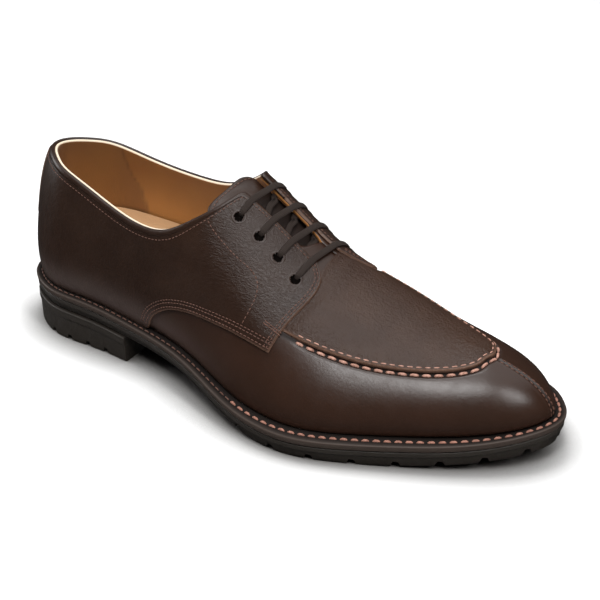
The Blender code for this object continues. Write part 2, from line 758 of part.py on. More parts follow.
def outsole_cutter():
    """Notches at one pitch along the forefoot's edge, and cross grooves between them under the ball."""
    u = np.linspace(u_at(LUG_FROM), ROUND - u_at(LUG_FROM), 400)
    edge = welt_edge(u)
    run = np.concatenate([[0], np.cumsum(np.linalg.norm(np.diff(edge, axis=0), axis=1))])
    count = int(run[-1] // LUG_PITCH)
    places = np.interp(np.arange(count + 1) * run[-1] / count, run, u)
    cuts = []
    for place in places:
        s = welt_edge(np.array([place]))[0, 0]
        cuts.append(notch_box(place, LUG_NOTCH, LUG_REACH, float(outsole_bottom(s))))
    for s in np.arange(LUG_FROM + LUG_PITCH / 2, GROOVES_TO, LUG_PITCH):
        side = u_at(s)
        lateral = outline(np.array([side]), GROOVE_MARGIN)[0, 1]
        medial = outline(np.array([ROUND - side]), GROOVE_MARGIN)[0, 1]
        ends = (s - GROOVE_WIDTH / 2, s + GROOVE_WIDTH / 2)
        floor = np.array([(ends[0], lateral), (ends[1], lateral), (ends[1], medial), (ends[0], medial)])
        roof = float(outsole_bottom(s)) + LUG_DEPTH
        cuts.append(np.vstack([np.column_stack([floor, np.full(4, z)]) for z in (CUT_FLOOR, roof)]))
    return add_cutter("lug_boxes", *boxes(cuts))


def make_heel(rubber):
    """The heel block: slightly tapered, straight at its breast, with one moulded line near its top."""
    breast = u_at(HEEL_BREAST - GAP)
    u = np.linspace(-breast, breast, 31)

    def seat(s):
        return outsole_top(s) - OUTSOLE_HEEL - GAP

    rows = stacked(
        [
            (centre_line(u), lambda s: 0 * s),
            (outline(u, HEEL_TREAD_INSET), lambda s: 0 * s),
            (outline(u, HEEL_TREAD_INSET - HEEL_ROUND), lambda s: 0 * s + HEEL_ROUND),
            (outline(u, HEEL_STEP_INSET), lambda s: seat(s) - HEEL_LINE - STEP_FALL),
            (outline(u, RIM_INSET), lambda s: seat(s) - HEEL_LINE),
            (outline(u, RIM_INSET), seat),
            (centre_line(u), seat),
        ]
    )
    columns, levels = rows.shape[:2]
    index = np.arange(columns * levels).reshape(columns, levels)
    breast_face = list(index[-1, ::-1]) + list(index[0, 1:-1])
    faces = [list(face) for face in grid_faces(columns, levels, False)] + [breast_face]
    points, faces, _ = weld(rows.reshape(-1, 3), faces)
    return add_object("heel_block", points, faces, rubber)


def heel_cutter():
    cuts = []
    for s in HEEL_NOTCHES:
        side = np.linspace(0.3, FIRST_ACROSS + 1, 271)
        for medial in (False, True):
            u = ROUND - side if medial else side
            place = u[np.argmin(np.abs(welt_edge(u)[:, 0] - s))]
            cuts.append(notch_box(place, HEEL_NOTCH, HEEL_NOTCH_REACH, 0.0))
    return add_cutter("heel_boxes", *boxes(cuts))


def clear_scene():
    for old in list(bpy.data.objects):
        bpy.data.objects.remove(old, do_unlink=True)


def main():
    clear_scene()
    brown = (0.045, 0.022, 0.014)
    pins = lace_hole_cutter()
    cut(make_upper(material("upper_leather", brown, 0.4)), pins)
    cut(make_quarter("quarter_lateral", lateral_side, material("quarter_lateral_leather", brown, 0.4)), pins)
    cut(make_quarter("quarter_medial", medial_side, material("quarter_medial_leather", brown, 0.4)), pins)
    make_apron(material("apron_leather", brown, 0.35))
    make_tongue(material("tongue_leather", brown, 0.45))
    for number, hole in enumerate(zip(*LACE_HOLES.values()), 1):
        make_lace(f"lace_{number}", hole, material(f"lace_{number}_cloth", (0.05, 0.035, 0.025), 0.8))
    make_insole(material("insole_leather", (0.72, 0.52, 0.33), 0.6))
    make_welt(material("welt_leather", (0.04, 0.018, 0.012), 0.45))
    cut(make_outsole(material("outsole_rubber", (0.02, 0.02, 0.018), 0.7)), outsole_cutter())
    cut(make_heel(material("heel_rubber", (0.02, 0.02, 0.018), 0.7)), heel_cutter())


main()
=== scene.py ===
"""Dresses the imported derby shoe: fine leather, stitches, laces and a cleated sole on the form of its solids.

Lengths are in millimetres along the shoe. s runs from the heel edge of the welt to its toe edge, y is
negative on the lateral side and positive on the medial side, and z is the height over the floor. The place
round the shoe, u, is 0 at the middle of the heel's back, runs along the lateral side to TOE at the toe tip,
and back along the medial side to ROUND. On the upper, t is 0 at the welt and 1 on the ridge of the instep.
"""

import math

import bmesh
import bpy
import numpy as np
from mathutils import Matrix, Vector

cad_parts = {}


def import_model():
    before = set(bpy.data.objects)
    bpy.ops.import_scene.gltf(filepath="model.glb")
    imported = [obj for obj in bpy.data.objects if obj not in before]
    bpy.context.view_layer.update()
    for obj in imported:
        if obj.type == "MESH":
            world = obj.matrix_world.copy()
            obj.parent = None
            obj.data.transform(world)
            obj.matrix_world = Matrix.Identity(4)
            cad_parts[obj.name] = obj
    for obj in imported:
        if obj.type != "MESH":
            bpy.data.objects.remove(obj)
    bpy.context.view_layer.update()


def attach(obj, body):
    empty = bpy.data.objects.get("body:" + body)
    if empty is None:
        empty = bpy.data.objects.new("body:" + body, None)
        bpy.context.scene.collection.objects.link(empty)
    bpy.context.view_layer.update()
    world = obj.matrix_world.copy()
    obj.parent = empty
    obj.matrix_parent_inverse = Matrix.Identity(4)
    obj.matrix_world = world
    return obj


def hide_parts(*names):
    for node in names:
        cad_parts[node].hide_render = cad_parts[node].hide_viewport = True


MM = 0.001

# Driving sizes
LENGTH = 312.0
GAP = 0.3
WALL = 1.8
PANEL = 1.3
PANEL_LIFT = 0.5
# Length round the heel's back that one step of u spans
BACK_ARC = 30.0
WELT_THICK = 3.5
WELT_INSIDE = 6.0
WELT_UNDERCUT = 0.3
WELT_BEVEL = 0.85
OUTSOLE_HEEL = 6.5
INSOLE_THICK = 2.6
# Raised heel of the insole: how much thicker it is there, how far its rim turns up, and where both end
HEEL_BED = 13.0
HEEL_CUP = 8.0
BED_FROM = 75.0
BED_TO = 155.0
HEEL_BREAST = 80.0
TOE_SPRING = 9.8
# Side of the outsole and of the heel: how far each line stands in from the welt's edge,
# and where the steps lie
RIM_INSET = 0.6
STEP_INSET = 1.2
TREAD_INSET = 3.2
TREAD_ROUND = 1.2
SIDE_STEP = 2.4
STEP_FALL = 0.5
HEEL_LINE = 4.0
HEEL_STEP_INSET = 1.1
HEEL_TREAD_INSET = 2.2
HEEL_ROUND = 0.8
FLAT_FROM = 193.0
FLAT_TO = 230.0
LACE_WIDTH = 3.4
LACE_THICK = 1.3
TONGUE_THICK = 1.8
TONGUE_LATERAL = 30.0
TONGUE_MEDIAL = 15.0
TONGUE_CORNER = 0.22
TOE_FAN = 1.6
# Makes the peak of rise times the fifth power of its complement equal to one
SWELL_SCALE = 14.9


def named_table(columns, rows):
    """The rows as one array for each named column."""
    return dict(zip(columns, np.array(rows, float).T))


# Plan of the shoe, a row for each section from the heel's back to the toe tip. A rib leaves the section's
# centre at its turn from straight ahead and reaches the welt's edge. The upper stands back from that edge
# by the lap.
PLAN = named_table(
    ("centre", "turn", "middle", "lateral", "medial", "lap_lateral", "lap_medial"),
    [
        (42.5, 180.0, 0.0, 43.2, 43.2, 6.4, 6.4),
        (45.0, 138.0, 0.0, 37.4, 38.3, 6.3, 6.2),
        (51.0, 96.0, 0.0, 32.7, 35.6, 6.2, 5.8),
        (85.0, 90.0, 0.6, 37.4, 34.6, 6.0, 5.0),
        (122.0, 90.0, 3.0, 49.2, 30.0, 6.5, 4.5),
        (155.0, 90.0, 5.0, 65.0, 30.8, 7.5, 4.8),
        (180.0, 89.5, 6.2, 73.3, 34.2, 8.2, 5.5),
        (201.0, 88.0, 7.0, 74.4, 37.7, 8.5, 6.5),
        (223.0, 84.0, 6.5, 66.0, 40.8, 8.5, 7.5),
        (245.0, 72.0, 2.0, 51.0, 45.2, 8.0, 7.5),
        (259.0, 47.0, -2.4, 41.5, 47.0, 7.0, 7.0),
        (262.0, 22.0, -3.7, 44.1, 48.4, 6.3, 6.5),
        (263.0, 0.0, -3.7, 49.3, 49.3, 6.0, 6.0),
    ],
)
# Form of the upper at the same sections: height of the ridge (behind the facings it is only a guide over the
# collar), fullness of the two walls and of the crown, and how far the leather bulges over the welt.
FORM = named_table(
    ("ridge", "wall_lateral", "wall_medial", "crown", "bulge"),
    [
        (118.5, 2.00, 2.00, 3.00, 2.0),
        (120.0, 2.00, 2.00, 3.00, 2.2),
        (131.0, 2.00, 2.00, 2.90, 2.0),
        (137.0, 2.00, 2.00, 2.60, 1.5),
        (120.0, 1.90, 2.30, 2.00, 2.0),
        (95.0, 1.90, 2.90, 1.75, 1.5),
        (76.0, 1.80, 2.80, 1.70, 1.2),
        (65.4, 1.75, 2.50, 1.70, 1.0),
        (57.8, 1.80, 2.40, 1.80, 1.0),
        (51.2, 2.00, 2.30, 2.00, 1.0),
        (48.6, 2.05, 2.20, 2.10, 1.0),
        (48.3, 2.05, 2.10, 2.10, 1.0),
        (48.2, 2.05, 2.05, 2.10, 1.0),
    ],
)
# Slope of the ridge along the shoe, which the ribs that fan round the toe follow beside it
RIDGE_FALL = named_table(("s", "slope"), [(190, 0), (223, -0.32), (245, -0.24), (259, -0.14), (263, -0.12)])
WELT_TOP = named_table(
    ("s", "z"),
    [(0, 28.3), (47, 27.9), (87, 25.0), (127, 21.4), (167, 14.0), (207, 12.0), (247, 13.5), (282, 16.8),
     (312, 22.3)],
)
ARCH = named_table(
    ("s", "z"), [(80, 15.2), (105, 13.6), (127, 11.3), (150, 6.6), (167, 3.0), (180, 0.9), (FLAT_FROM, 0.0)]
)
COLLAR_LATERAL = named_table(
    ("s", "z"),
    [(8, 102.5), (25, 100.5), (45, 95), (70, 86.2), (95, 81.2), (108, 83), (122, 90.5), (137, 100.5),
     (150, 112)],
)
COLLAR_MEDIAL = named_table(
    ("s", "z"),
    [(8, 102.5), (25, 100.5), (45, 95), (70, 89), (95, 87), (110, 88.5), (123, 93.5), (137, 103),
     (150, 115)],
)
# Slot between the facings: half its width, and how far its middle lies to the lateral side of the ridge
SLOT_HALF = named_table(("s", "half"), [(135, 8.2), (150, 7.1), (170, 7.6), (190, 8.0)])
SLOT_ASIDE = 5.6
# How far, in t, the facings' top corners are rounded off
CORNER_ROUND = 0.022
SLOT_END = 176.0
# Lower edge of the quarters: it climbs from the welt at the waist, arches over and runs to the front tip
QUARTER_EDGE = named_table(
    ("s", "z"),
    [(92, 8), (97, 26.5), (104, 37.3), (111, 42), (119, 45), (130, 47), (142, 47.5), (155, 47),
     (167, 45), (192, 38.3)],
)
# Front edge of each quarter, from the tip up to the slot: the medial one stands further ahead
FRONT_LATERAL = named_table(
    ("share", "s"),
    [(0, 178.2), (0.28, 181.8), (0.52, 185.8), (0.70, 187.8), (0.80, 187.8), (0.90, 186), (1.0, 180.5)],
)
FRONT_MEDIAL = named_table(
    ("share", "s"),
    [(0, 190.5), (0.28, 194), (0.52, 198), (0.70, 200), (0.80, 199.3), (0.90, 195.5), (1.0, 184)],
)
THROAT_SHARE = 0.75
FRONT_GUESS = 186.0
# Apron seam: its t at the sections from the quarters' front edge round the toe
APRON = named_table(
    ("u", "t"),
    [(5, 0.45), (6, 0.46), (7, 0.47), (8, 0.472), (9, 0.542), (10, 0.682), (11, 0.79), (12, 0.815),
     (13, 0.80), (14, 0.775), (15, 0.775), (16, 0.77), (17, 0.765), (18, 0.765), (19, 0.765)],
)
# Lace holes of both facings, from the top, with their distance from the middle of the slot
LACE_HOLES = named_table(
    ("lateral", "reach", "medial", "medial_reach"),
    [(143.8, 17.4, 149.4, 17.6), (155.4, 18.5, 160.6, 18.6), (166.4, 20.1, 172, 19.6),
     (177.2, 22.6, 183.4, 20.6)],
)
# How far the tongue lies below the upper's inner face
TONGUE_DEPTH = named_table(("s", "below"), [(146, 2.6), (178, 2.6), (189, 0.7)])
# Free end of the tongue, from its lateral to its medial corner
TONGUE_END = named_table(
    ("across", "s", "y", "z"),
    [
        (0, 126.5, -22.5, 90),
        (0.25, 125.4, -17, 96),
        (0.5, 127.5, -4.5, 100.3),
        (0.75, 130, 4, 103.5),
        (1, 133, 10.5, 104),
    ],
)

TOE = len(PLAN["centre"]) - 1
ROUND = 2 * TOE
# Between these sections the ribs run across the shoe, and outside them they fan round the heel and the toe
FIRST_ACROSS = 2
LAST_ACROSS = 9

# Lugs
LUG_PITCH = 20.0
LUG_NOTCH = 5.5
LUG_DEPTH = 3.2
LUG_REACH = 11.0
LUG_FROM = 168.0
GROOVE_WIDTH = 4.5
GROOVE_MARGIN = 18.0
GROOVES_TO = 275.0
CUT_OUTSIDE = 4.0
CUT_FLOOR = -5.0
# How far below the tread a notch's cut starts, and the share of its width left at its roof
NOTCH_BELOW = 4.5
NOTCH_TAPER = 0.45
HEEL_NOTCHES = (26.0, 39.0, 52.0, 65.0)
HEEL_NOTCH = 4.5
HEEL_NOTCH_REACH = 7.0


# Curves

def cubic_bends(left, middle, right, bends):
    """Solves for a spline's second derivatives from its three diagonals."""
    system = np.diag(middle) + np.diag(left, -1) + np.diag(right, 1)
    return np.linalg.solve(system, bends)


def through(table, at):
    """Natural cubic spline through a table's two columns, held level past its ends."""
    x, y = table.values()
    step = np.diff(x)
    slope = np.diff(y) / step
    middle = np.concatenate([[1], 2 * (step[:-1] + step[1:]), [1]])
    turning = np.concatenate([[0], 6 * np.diff(slope), [0]])
    bend = cubic_bends(np.append(step[:-1], 0), middle, np.insert(step[1:], 0, 0), turning)
    at = np.clip(at, x[0], x[-1])
    i = np.clip(np.searchsorted(x, at) - 1, 0, len(step) - 1)
    f = (at - x[i]) / step[i]
    g = 1 - f
    return g * y[i] + f * y[i + 1] + ((g**3 - g) * bend[i] + (f**3 - f) * bend[i + 1]) * step[i] ** 2 / 6


def through_column(table, name, at):
    """Spline through one column of a table, over its first column."""
    first = next(iter(table))
    return through({first: table[first], name: table[name]}, at)


def round_the_shoe(lateral, medial, u):
    """Periodic cubic spline through a value at each section of both sides."""
    y = np.concatenate([lateral, medial[-2:0:-1]])
    ring = np.eye(ROUND)
    system = 4 * ring + np.roll(ring, 1, 1) + np.roll(ring, -1, 1)
    bend = np.linalg.solve(system, 6 * (np.roll(y, 1) - 2 * y + np.roll(y, -1)))
    u = np.mod(u, ROUND)
    i = np.floor(u).astype(int) % ROUND
    j = (i + 1) % ROUND
    f = u - np.floor(u)
    g = 1 - f
    return g * y[i] + f * y[j] + ((g**3 - g) * bend[i] + (f**3 - f) * bend[j]) / 6


def soft_min(a, b, blend):
    """The smaller of two values, with the corner between them rounded."""
    return -blend * np.logaddexp(-a / blend, -b / blend)


# The last: plan and form

def rib(u):
    """Centre of the rib along the shoe and across it, and its direction in plan."""
    u = np.asarray(u, float)
    centre = round_the_shoe(PLAN["centre"], PLAN["centre"], u)
    middle = round_the_shoe(PLAN["middle"], PLAN["middle"], u)
    uneven = 180 - PLAN["turn"] - np.arange(TOE + 1) * 180 / TOE
    turn = np.radians(180 + 180 * u / TOE + round_the_shoe(uneven, -uneven, u))
    return centre, middle, np.cos(turn), np.sin(turn)


def welt_edge(u):
    centre, middle, ahead, aside = rib(u)
    reach = round_the_shoe(PLAN["lateral"], PLAN["medial"], u)
    return np.stack([centre + reach * ahead, middle + reach * aside], -1)


def outline(u, inset):
    """The welt's outline moved in by the inset along its own normal."""
    ahead = welt_edge(u + 0.01) - welt_edge(u - 0.01)
    ahead /= np.linalg.norm(ahead, axis=-1, keepdims=True)
    outward = np.stack([ahead[:, 1], -ahead[:, 0]], -1)
    return welt_edge(u) - outward * np.broadcast_to(inset, u.shape)[:, None]


def lap(u):
    return round_the_shoe(PLAN["lap_lateral"], PLAN["lap_medial"], u)


def upper_point(u, t):
    """Outer face of the upper: a rounded arch over each rib, from the welt to the ridge."""
    u, t = np.broadcast_arrays(np.asarray(u, float), np.asarray(t, float))
    centre, middle, ahead, aside = rib(u)
    reach = round_the_shoe(PLAN["lateral"], PLAN["medial"], u) - lap(u)
    ridge, crown, bulge = (round_the_shoe(FORM[name], FORM[name], u) for name in ("ridge", "crown", "bulge"))
    wall = round_the_shoe(FORM["wall_lateral"], FORM["wall_medial"], u)
    foot = through(WELT_TOP, centre + reach * ahead) + GAP
    angle = np.clip(t, 0, 1) * np.pi / 2
    rise = np.sin(angle) ** (2 / crown)
    swell = bulge * SWELL_SCALE * rise * (1 - rise) ** 5
    out = reach * np.clip(np.cos(angle), 0, 1) ** (2 / wall) + swell
    fall = np.interp(centre, *RIDGE_FALL.values()) * ahead * out * rise**3
    return np.stack([centre + out * ahead, middle + out * aside, foot + (ridge - foot) * rise + fall], -1)


def outward(u, t):
    """Outward normal of the upper's face, taken just below the ridge where the point is on it."""
    t = np.clip(t, 0, 0.985)
    along = upper_point(u + 0.02, t) - upper_point(u - 0.02, t)
    upward = upper_point(u, t + 0.01) - upper_point(u, np.maximum(t - 0.01, 0))
    normal = np.cross(along, upward)
    return normal / np.linalg.norm(normal, axis=-1, keepdims=True)


def upper_face(u, t, out):
    """The upper's outer face moved out along its normal, and never below its foot on the welt.

    On the ridge the normals of the two sides are averaged, so that both sides meet there.
    """
    u, t = np.broadcast_arrays(np.asarray(u, float), np.asarray(t, float))
    normal = outward(u, t)
    on_ridge = (t >= 1)[..., None]
    normal = np.where(on_ridge, normal + outward(ROUND - u, t), normal)
    normal /= np.linalg.norm(normal, axis=-1, keepdims=True)
    moved = upper_point(u, t) + normal * np.asarray(out)[..., None]
    foot = upper_point(u, 0)[..., 2]
    moved[..., 2] = np.where(t <= 0, foot, np.maximum(moved[..., 2], foot))
    return moved


def find_t(u, is_below):
    """The t on each rib where a test of its point turns from true to false."""
    low, high = np.zeros_like(u), np.ones_like(u)
    for _ in range(24):
        t = (low + high) / 2
        below = is_below(upper_point(u, t))
        low, high = np.where(below, t, low), np.where(below, high, t)
    return (low + high) / 2


def t_at_height(u, table):
    return find_t(u, lambda p: p[..., 2] < through(table, p[..., 0]))


def t_at_reach(u, reach):
    centre, middle, _, _ = rib(u)
    return find_t(u, lambda p: np.hypot(p[..., 0] - centre, p[..., 1] - middle) > reach)


def u_at(place):
    """Lateral u of the rib whose centre is at a place along the shoe."""
    u = np.linspace(FIRST_ACROSS, LAST_ACROSS, 701)
    return np.interp(place, rib(u)[0], u)


def to_ridge(u, from_slot):
    """Turns a distance from the slot's middle into a rib's reach from the ridge."""
    return from_slot + np.where(np.asarray(u) > TOE, -SLOT_ASIDE, SLOT_ASIDE)


def slot_reach(u):
    return to_ridge(u, through(SLOT_HALF, rib(u)[0]))


def top_edge(u):
    """t of the collar and of the facing's edge along the slot."""
    collar = np.where(u > TOE, t_at_height(u, COLLAR_MEDIAL), t_at_height(u, COLLAR_LATERAL))
    return soft_min(collar, t_at_reach(u, slot_reach(u)), CORNER_ROUND)


def upper_top(u):
    """t of the upper's top edge: the collar, the slot with its round end, then the vamp's closed ridge."""
    centre = rib(u)[0]
    half = through(SLOT_HALF, centre)
    into = np.clip((centre - SLOT_END + half) / half, 0, 1)
    rounded = t_at_reach(u, slot_reach(u) * np.sqrt(1 - into**2))
    slotted = np.where(into > 0, rounded, top_edge(u))
    return np.where(np.minimum(u, ROUND - u) < u_at(SLOT_END), slotted, 1.0)


# Heights of the sole

def welt_top(s):
    return through(WELT_TOP, s)


def outsole_top(s):
    return welt_top(s) - WELT_THICK - GAP


def outsole_bottom(s):
    """Heel seat, then the arch down to the flat tread, then the toe spring."""
    seat = outsole_top(s) - OUTSOLE_HEEL
    toe = TOE_SPRING * (np.clip(s - FLAT_TO, 0, None) / (LENGTH - FLAT_TO)) ** 1.7
    front = np.where(s < FLAT_FROM, through(ARCH, s), toe)
    return np.where(s < HEEL_BREAST, seat, front)


ALL_ROUND = np.linspace(0, ROUND, 481)
MID_WIDTH = (welt_edge(ALL_ROUND)[:, 1].min() + welt_edge(ALL_ROUND)[:, 1].max()) / 2
MID_LENGTH = (welt_edge(ALL_ROUND)[:, 0].min() + welt_edge(ALL_ROUND)[:, 0].max()) / 2


# Meshes of the scene

def placed(points):
    """Points in millimetres along the shoe, in the row frame's metres."""
    return (points - (MID_LENGTH, MID_WIDTH, 0)) * MM


def grid_quads(columns, rows, closed=False):
    """Quads of a grid of points numbered column by column, turned so that the first side faces out."""
    index = np.arange(columns * rows).reshape(columns, rows)
    if closed:
        index = np.vstack([index, index[:1]])
    corners = (index[:-1, :-1], index[1:, :-1], index[1:, 1:], index[:-1, 1:])
    return np.stack(corners, -1).reshape(-1, 4)


def add_piece(name, points, faces, finishes, stands_for=(), kinds=None, marks=None, sharp=None):
    """One mesh from whole arrays, riding on the shoe.

    kinds picks the finish of each face, and marks holds named numbers for each point.
    """
    mesh = bpy.data.meshes.new(name)
    points = points.reshape(-1, 3)
    mesh.vertices.add(len(points))
    mesh.vertices.foreach_set("co", placed(points).astype(np.float32).ravel())
    mesh.loops.add(faces.size)
    mesh.loops.foreach_set("vertex_index", faces.astype(np.int32).ravel())
    mesh.polygons.add(len(faces))
    mesh.polygons.foreach_set("loop_start", (np.arange(len(faces)) * faces.shape[1]).astype(np.int32))
    for finish in finishes:
        mesh.materials.append(finish)
    if kinds is not None:
        mesh.polygons.foreach_set("material_index", kinds.astype(np.int32))
    for label, values in (marks or {}).items():
        kept = mesh.attributes.new(label, "FLOAT", "POINT")
        kept.data.foreach_set("value", np.asarray(values, np.float32).ravel())
    mesh.update(calc_edges=True)
    mesh.shade_smooth()
    if sharp:
        mesh.set_sharp_from_angle(angle=math.radians(sharp))
    made = bpy.data.objects.new(name, mesh)
    bpy.context.scene.collection.objects.link(made)
    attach(made, "root")
    if stands_for:
        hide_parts(*stands_for)
    return made


def weld(mesh):
    """Joins the points of a mesh that lie in the same place."""
    work = bmesh.new()
    work.from_mesh(mesh)
    bmesh.ops.remove_doubles(work, verts=work.verts, dist=2e-6)
    bmesh.ops.dissolve_degenerate(work, edges=work.edges, dist=1e-6)
    work.to_mesh(mesh)
    work.free()


def shell(outer, inner, closed=False):
    """A sheet between two grids of points, with a rim along each free edge.

    Gives the points, the quads, and 0, 1 or 2 for each quad on the outer face, the inner face or the rim.
    """
    columns, rows = outer.shape[:2]
    count = columns * rows
    quads = grid_quads(columns, rows, closed)
    index = np.arange(count).reshape(columns, rows)
    turns = [index[:, 0], index[::-1, -1]]
    if closed:
        turns = [np.append(turn, turn[0]) for turn in turns]
    else:
        turns += [index[-1], index[0, ::-1]]
    rims = [np.stack([turn[1:], turn[:-1], turn[:-1] + count, turn[1:] + count], -1) for turn in turns]
    faces = np.vstack([quads, quads[:, ::-1] + count, *rims])
    kinds = np.repeat([0, 1, 2], [len(quads), len(quads), len(faces) - 2 * len(quads)])
    return np.concatenate([outer.reshape(-1, 3), inner.reshape(-1, 3)]), faces, kinds


def unit(vectors):
    return vectors / np.linalg.norm(vectors, axis=-1, keepdims=True)


def eased(share):
    """A share from 0 to 1 that starts and ends level."""
    return share * share * (3 - 2 * share)


def outer_only(values):
    """A mark for a shell's points: the values on its outer face and 0 on its inner one."""
    return np.concatenate([values.ravel(), 0 * values.ravel()])


def run_along(path):
    """Length along a path up to each of its points."""
    return np.concatenate([[0], np.cumsum(np.linalg.norm(np.diff(path, axis=0), axis=1))])


def at_run(values, run, where):
    """What a path's points hold at the given lengths along it."""
    return np.stack([np.interp(where, run, values[:, k]) for k in range(3)], -1)


def arc_from_start(points, axis):
    """Length along a grid's lines from its first row or column."""
    points = np.moveaxis(points, axis, 0)
    steps = np.linalg.norm(np.diff(points, axis=0), axis=-1)
    run = np.concatenate([np.zeros_like(steps[:1]), np.cumsum(steps, 0)])
    return np.moveaxis(run, 0, axis)


def edge_drop(distance, radius):
    """0 on the flat and 1 at an edge, along a quarter circle of that radius."""
    left = 1 - np.clip(distance / radius, 0, 1)
    return 1 - np.sqrt(np.clip(1 - left**2, 0, 1))


def hump(distance, width):
    """A soft ridge, 1 in its middle."""
    return np.exp(-((distance / width) ** 2))


def close_at_ends(count, ends=(0.004, 0.012, 0.022, 0.034)):
    """Places from 0 to 1 that lie close together beside both ends."""
    ends = np.array(ends)
    return np.concatenate([[0], ends, np.linspace(0.05, 0.95, count), 1 - ends[::-1], [1]])


# Surface of the shoe: paths, tubes and stitches

def moved_aside(u, t, aside):
    """Moves a path on the upper by a length to the left of its run, within the surface."""
    u, t = np.asarray(u, float), np.asarray(t, float)
    step = 0.01
    along_u = (upper_point(u + step, t) - upper_point(u - step, t)) / (2 * step)
    high, low = np.clip(t + step, 0, 1), np.clip(t - step, 0, 1)
    along_t = (upper_point(u, high) - upper_point(u, low)) / (high - low)[:, None]
    run = unit(np.gradient(upper_point(u, t), axis=0))
    left = unit(np.cross(outward(u, t), run))
    a, b, c = (along_u**2).sum(-1), (along_u * along_t).sum(-1), (along_t**2).sum(-1)
    p, q = (along_u * left).sum(-1), (along_t * left).sum(-1)
    under = a * c - b * b
    return u + aside * (c * p - b * q) / under, np.clip(t + aside * (a * q - b * p) / under, 0, 1)


def stitch_shape():
    """A thread's short run over leather: rings of six along it, thinner and lower at both ends."""
    along = np.array([-0.5, -0.42, -0.2, 0.2, 0.42, 0.5])
    girth = np.array([0.25, 0.75, 1, 1, 0.75, 0.25])
    sink = np.array([-0.75, -0.25, 0, 0, -0.25, -0.75])
    angle = np.radians(np.arange(0, 360, 60))
    side = girth[:, None] * np.cos(angle) * 0.5
    over = girth[:, None] * np.sin(angle) * 0.5 + sink[:, None]
    points = np.stack([along[:, None] + 0 * side, side, over], -1)
    around = grid_quads(6, 6, False)
    index = np.arange(36).reshape(6, 6)
    wrap = np.stack([index[:-1, 5], index[1:, 5], index[1:, 0], index[:-1, 0]], -1)
    ends = np.array([[0, 1, 2, 3], [0, 3, 4, 5], [33, 32, 31, 30], [35, 34, 33, 30]])
    return points.reshape(-1, 3), np.vstack([around, wrap, ends])[:, ::-1]


def stitches_along(path, normal, pitch, length, thick):
    """Points of stitches at one pitch along a path, each laid along its run and lifted on the normal."""
    run = run_along(path)
    count = max(int(run[-1] / pitch), 1)
    stops = (np.arange(count) + 0.5) * run[-1] / count
    middle = at_run(path, run, stops)
    ahead = unit(at_run(path, run, stops + 0.3 * length) - at_run(path, run, stops - 0.3 * length))
    up = at_run(normal, run, stops)
    up = unit(up - ahead * (up * ahead).sum(-1, keepdims=True))
    left = np.cross(up, ahead)
    shape, _ = stitch_shape()
    spread = (
        shape[None, :, :1] * length * ahead[:, None]
        + shape[None, :, 1:2] * thick * left[:, None]
        + shape[None, :, 2:] * thick * up[:, None]
    )
    return middle[:, None] + spread


def stitches_on(u, t, out, pitch, length, thick):
    """Stitches along a path of the upper's face."""
    return stitches_along(upper_face(u, t, out), outward(u, t), pitch, length, thick)


def add_stitches(name, rows, finish):
    points = np.concatenate(rows)
    _, faces = stitch_shape()
    each = points.shape[1]
    faces = (faces[None] + each * np.arange(len(points))[:, None, None]).reshape(-1, 4)
    return add_piece(name, points, faces, [finish])


def tube(path, side, up, section):
    """Carries a closed section along a path: its first number goes to the side and its second up."""
    return path[:, None] + section[..., 0, None] * side[:, None] + section[..., 1, None] * up[:, None]


def tube_quads(columns, rows):
    """Quads of a tube whose two ends are closed by a fold across the section."""
    index = np.arange(columns * rows).reshape(columns, rows)
    around = np.hstack([index, index[:, :1]])
    corners = (around[:-1, :-1], around[1:, :-1], around[1:, 1:], around[:-1, 1:])
    sides = np.stack(corners, -1).reshape(-1, 4)
    half = np.arange(rows // 2 - 1)
    fold = np.stack([half, half + 1, rows - 2 - half, rows - 1 - half], -1)
    return np.vstack([sides, index[0][fold], index[-1][fold][:, ::-1]])


# Leather pieces

def mm_per_t(u, t):
    high, low = np.clip(t + 0.01, 0, 1), np.clip(t - 0.01, 0, 1)
    return np.linalg.norm(upper_point(u, high) - upper_point(u, low), axis=-1) / (high - low)


def mm_per_u(u, t):
    return np.linalg.norm(upper_point(u + 0.01, t) - upper_point(u - 0.01, t), axis=-1) / 0.02


# Groove along the apron's seam: the u where it starts and its fade there, then its place below the seam,
# its depth and its width
SEAM_FROM = 6.3
SEAM_FADE = 0.5
SEAM_BELOW = 1.0
SEAM_DEPTH = 1.25
SEAM_WIDTH = 1.15
# Toe seam: a cut, and a lip beside it at this distance
CUT_DEPTH = 0.6
CUT_WIDTH = 0.75
LIP_ASIDE = 1.7
LIP_HEIGHT = 0.2
LIP_WIDTH = 1.1


def vamp_relief(u, t):
    """Height of the vamp's leather over the last: a groove along the apron's seam and a pinched toe seam."""
    seam = through(APRON, u)
    below = (seam - t) * mm_per_t(u, t)
    ahead = np.clip((TOE - np.abs(u - TOE) - SEAM_FROM) / SEAM_FADE, 0, 1)
    beside = np.abs(u - TOE) * mm_per_u(u, t)
    split = hump(beside - LIP_ASIDE, LIP_WIDTH) * LIP_HEIGHT - hump(beside, CUT_WIDTH) * CUT_DEPTH
    rolled = -SEAM_DEPTH * hump(below - SEAM_BELOW, SEAM_WIDTH)
    return ahead * np.where(below > -1, rolled, 0) + np.where((below > 0) & (np.abs(u - TOE) < 1), split, 0)


# Seam inside the shoe, ahead of the heel grip: its place along the shoe at each height
HEEL_GRIP = named_table(("z", "s"), [(40, 54), (59, 52.5), (71, 49.7), (80, 44.8), (88, 42.9), (105, 41)])

# The lining is paler low down: the height where that starts and the length of its fade
PALE_BELOW = 84
PALE_FADE = 22


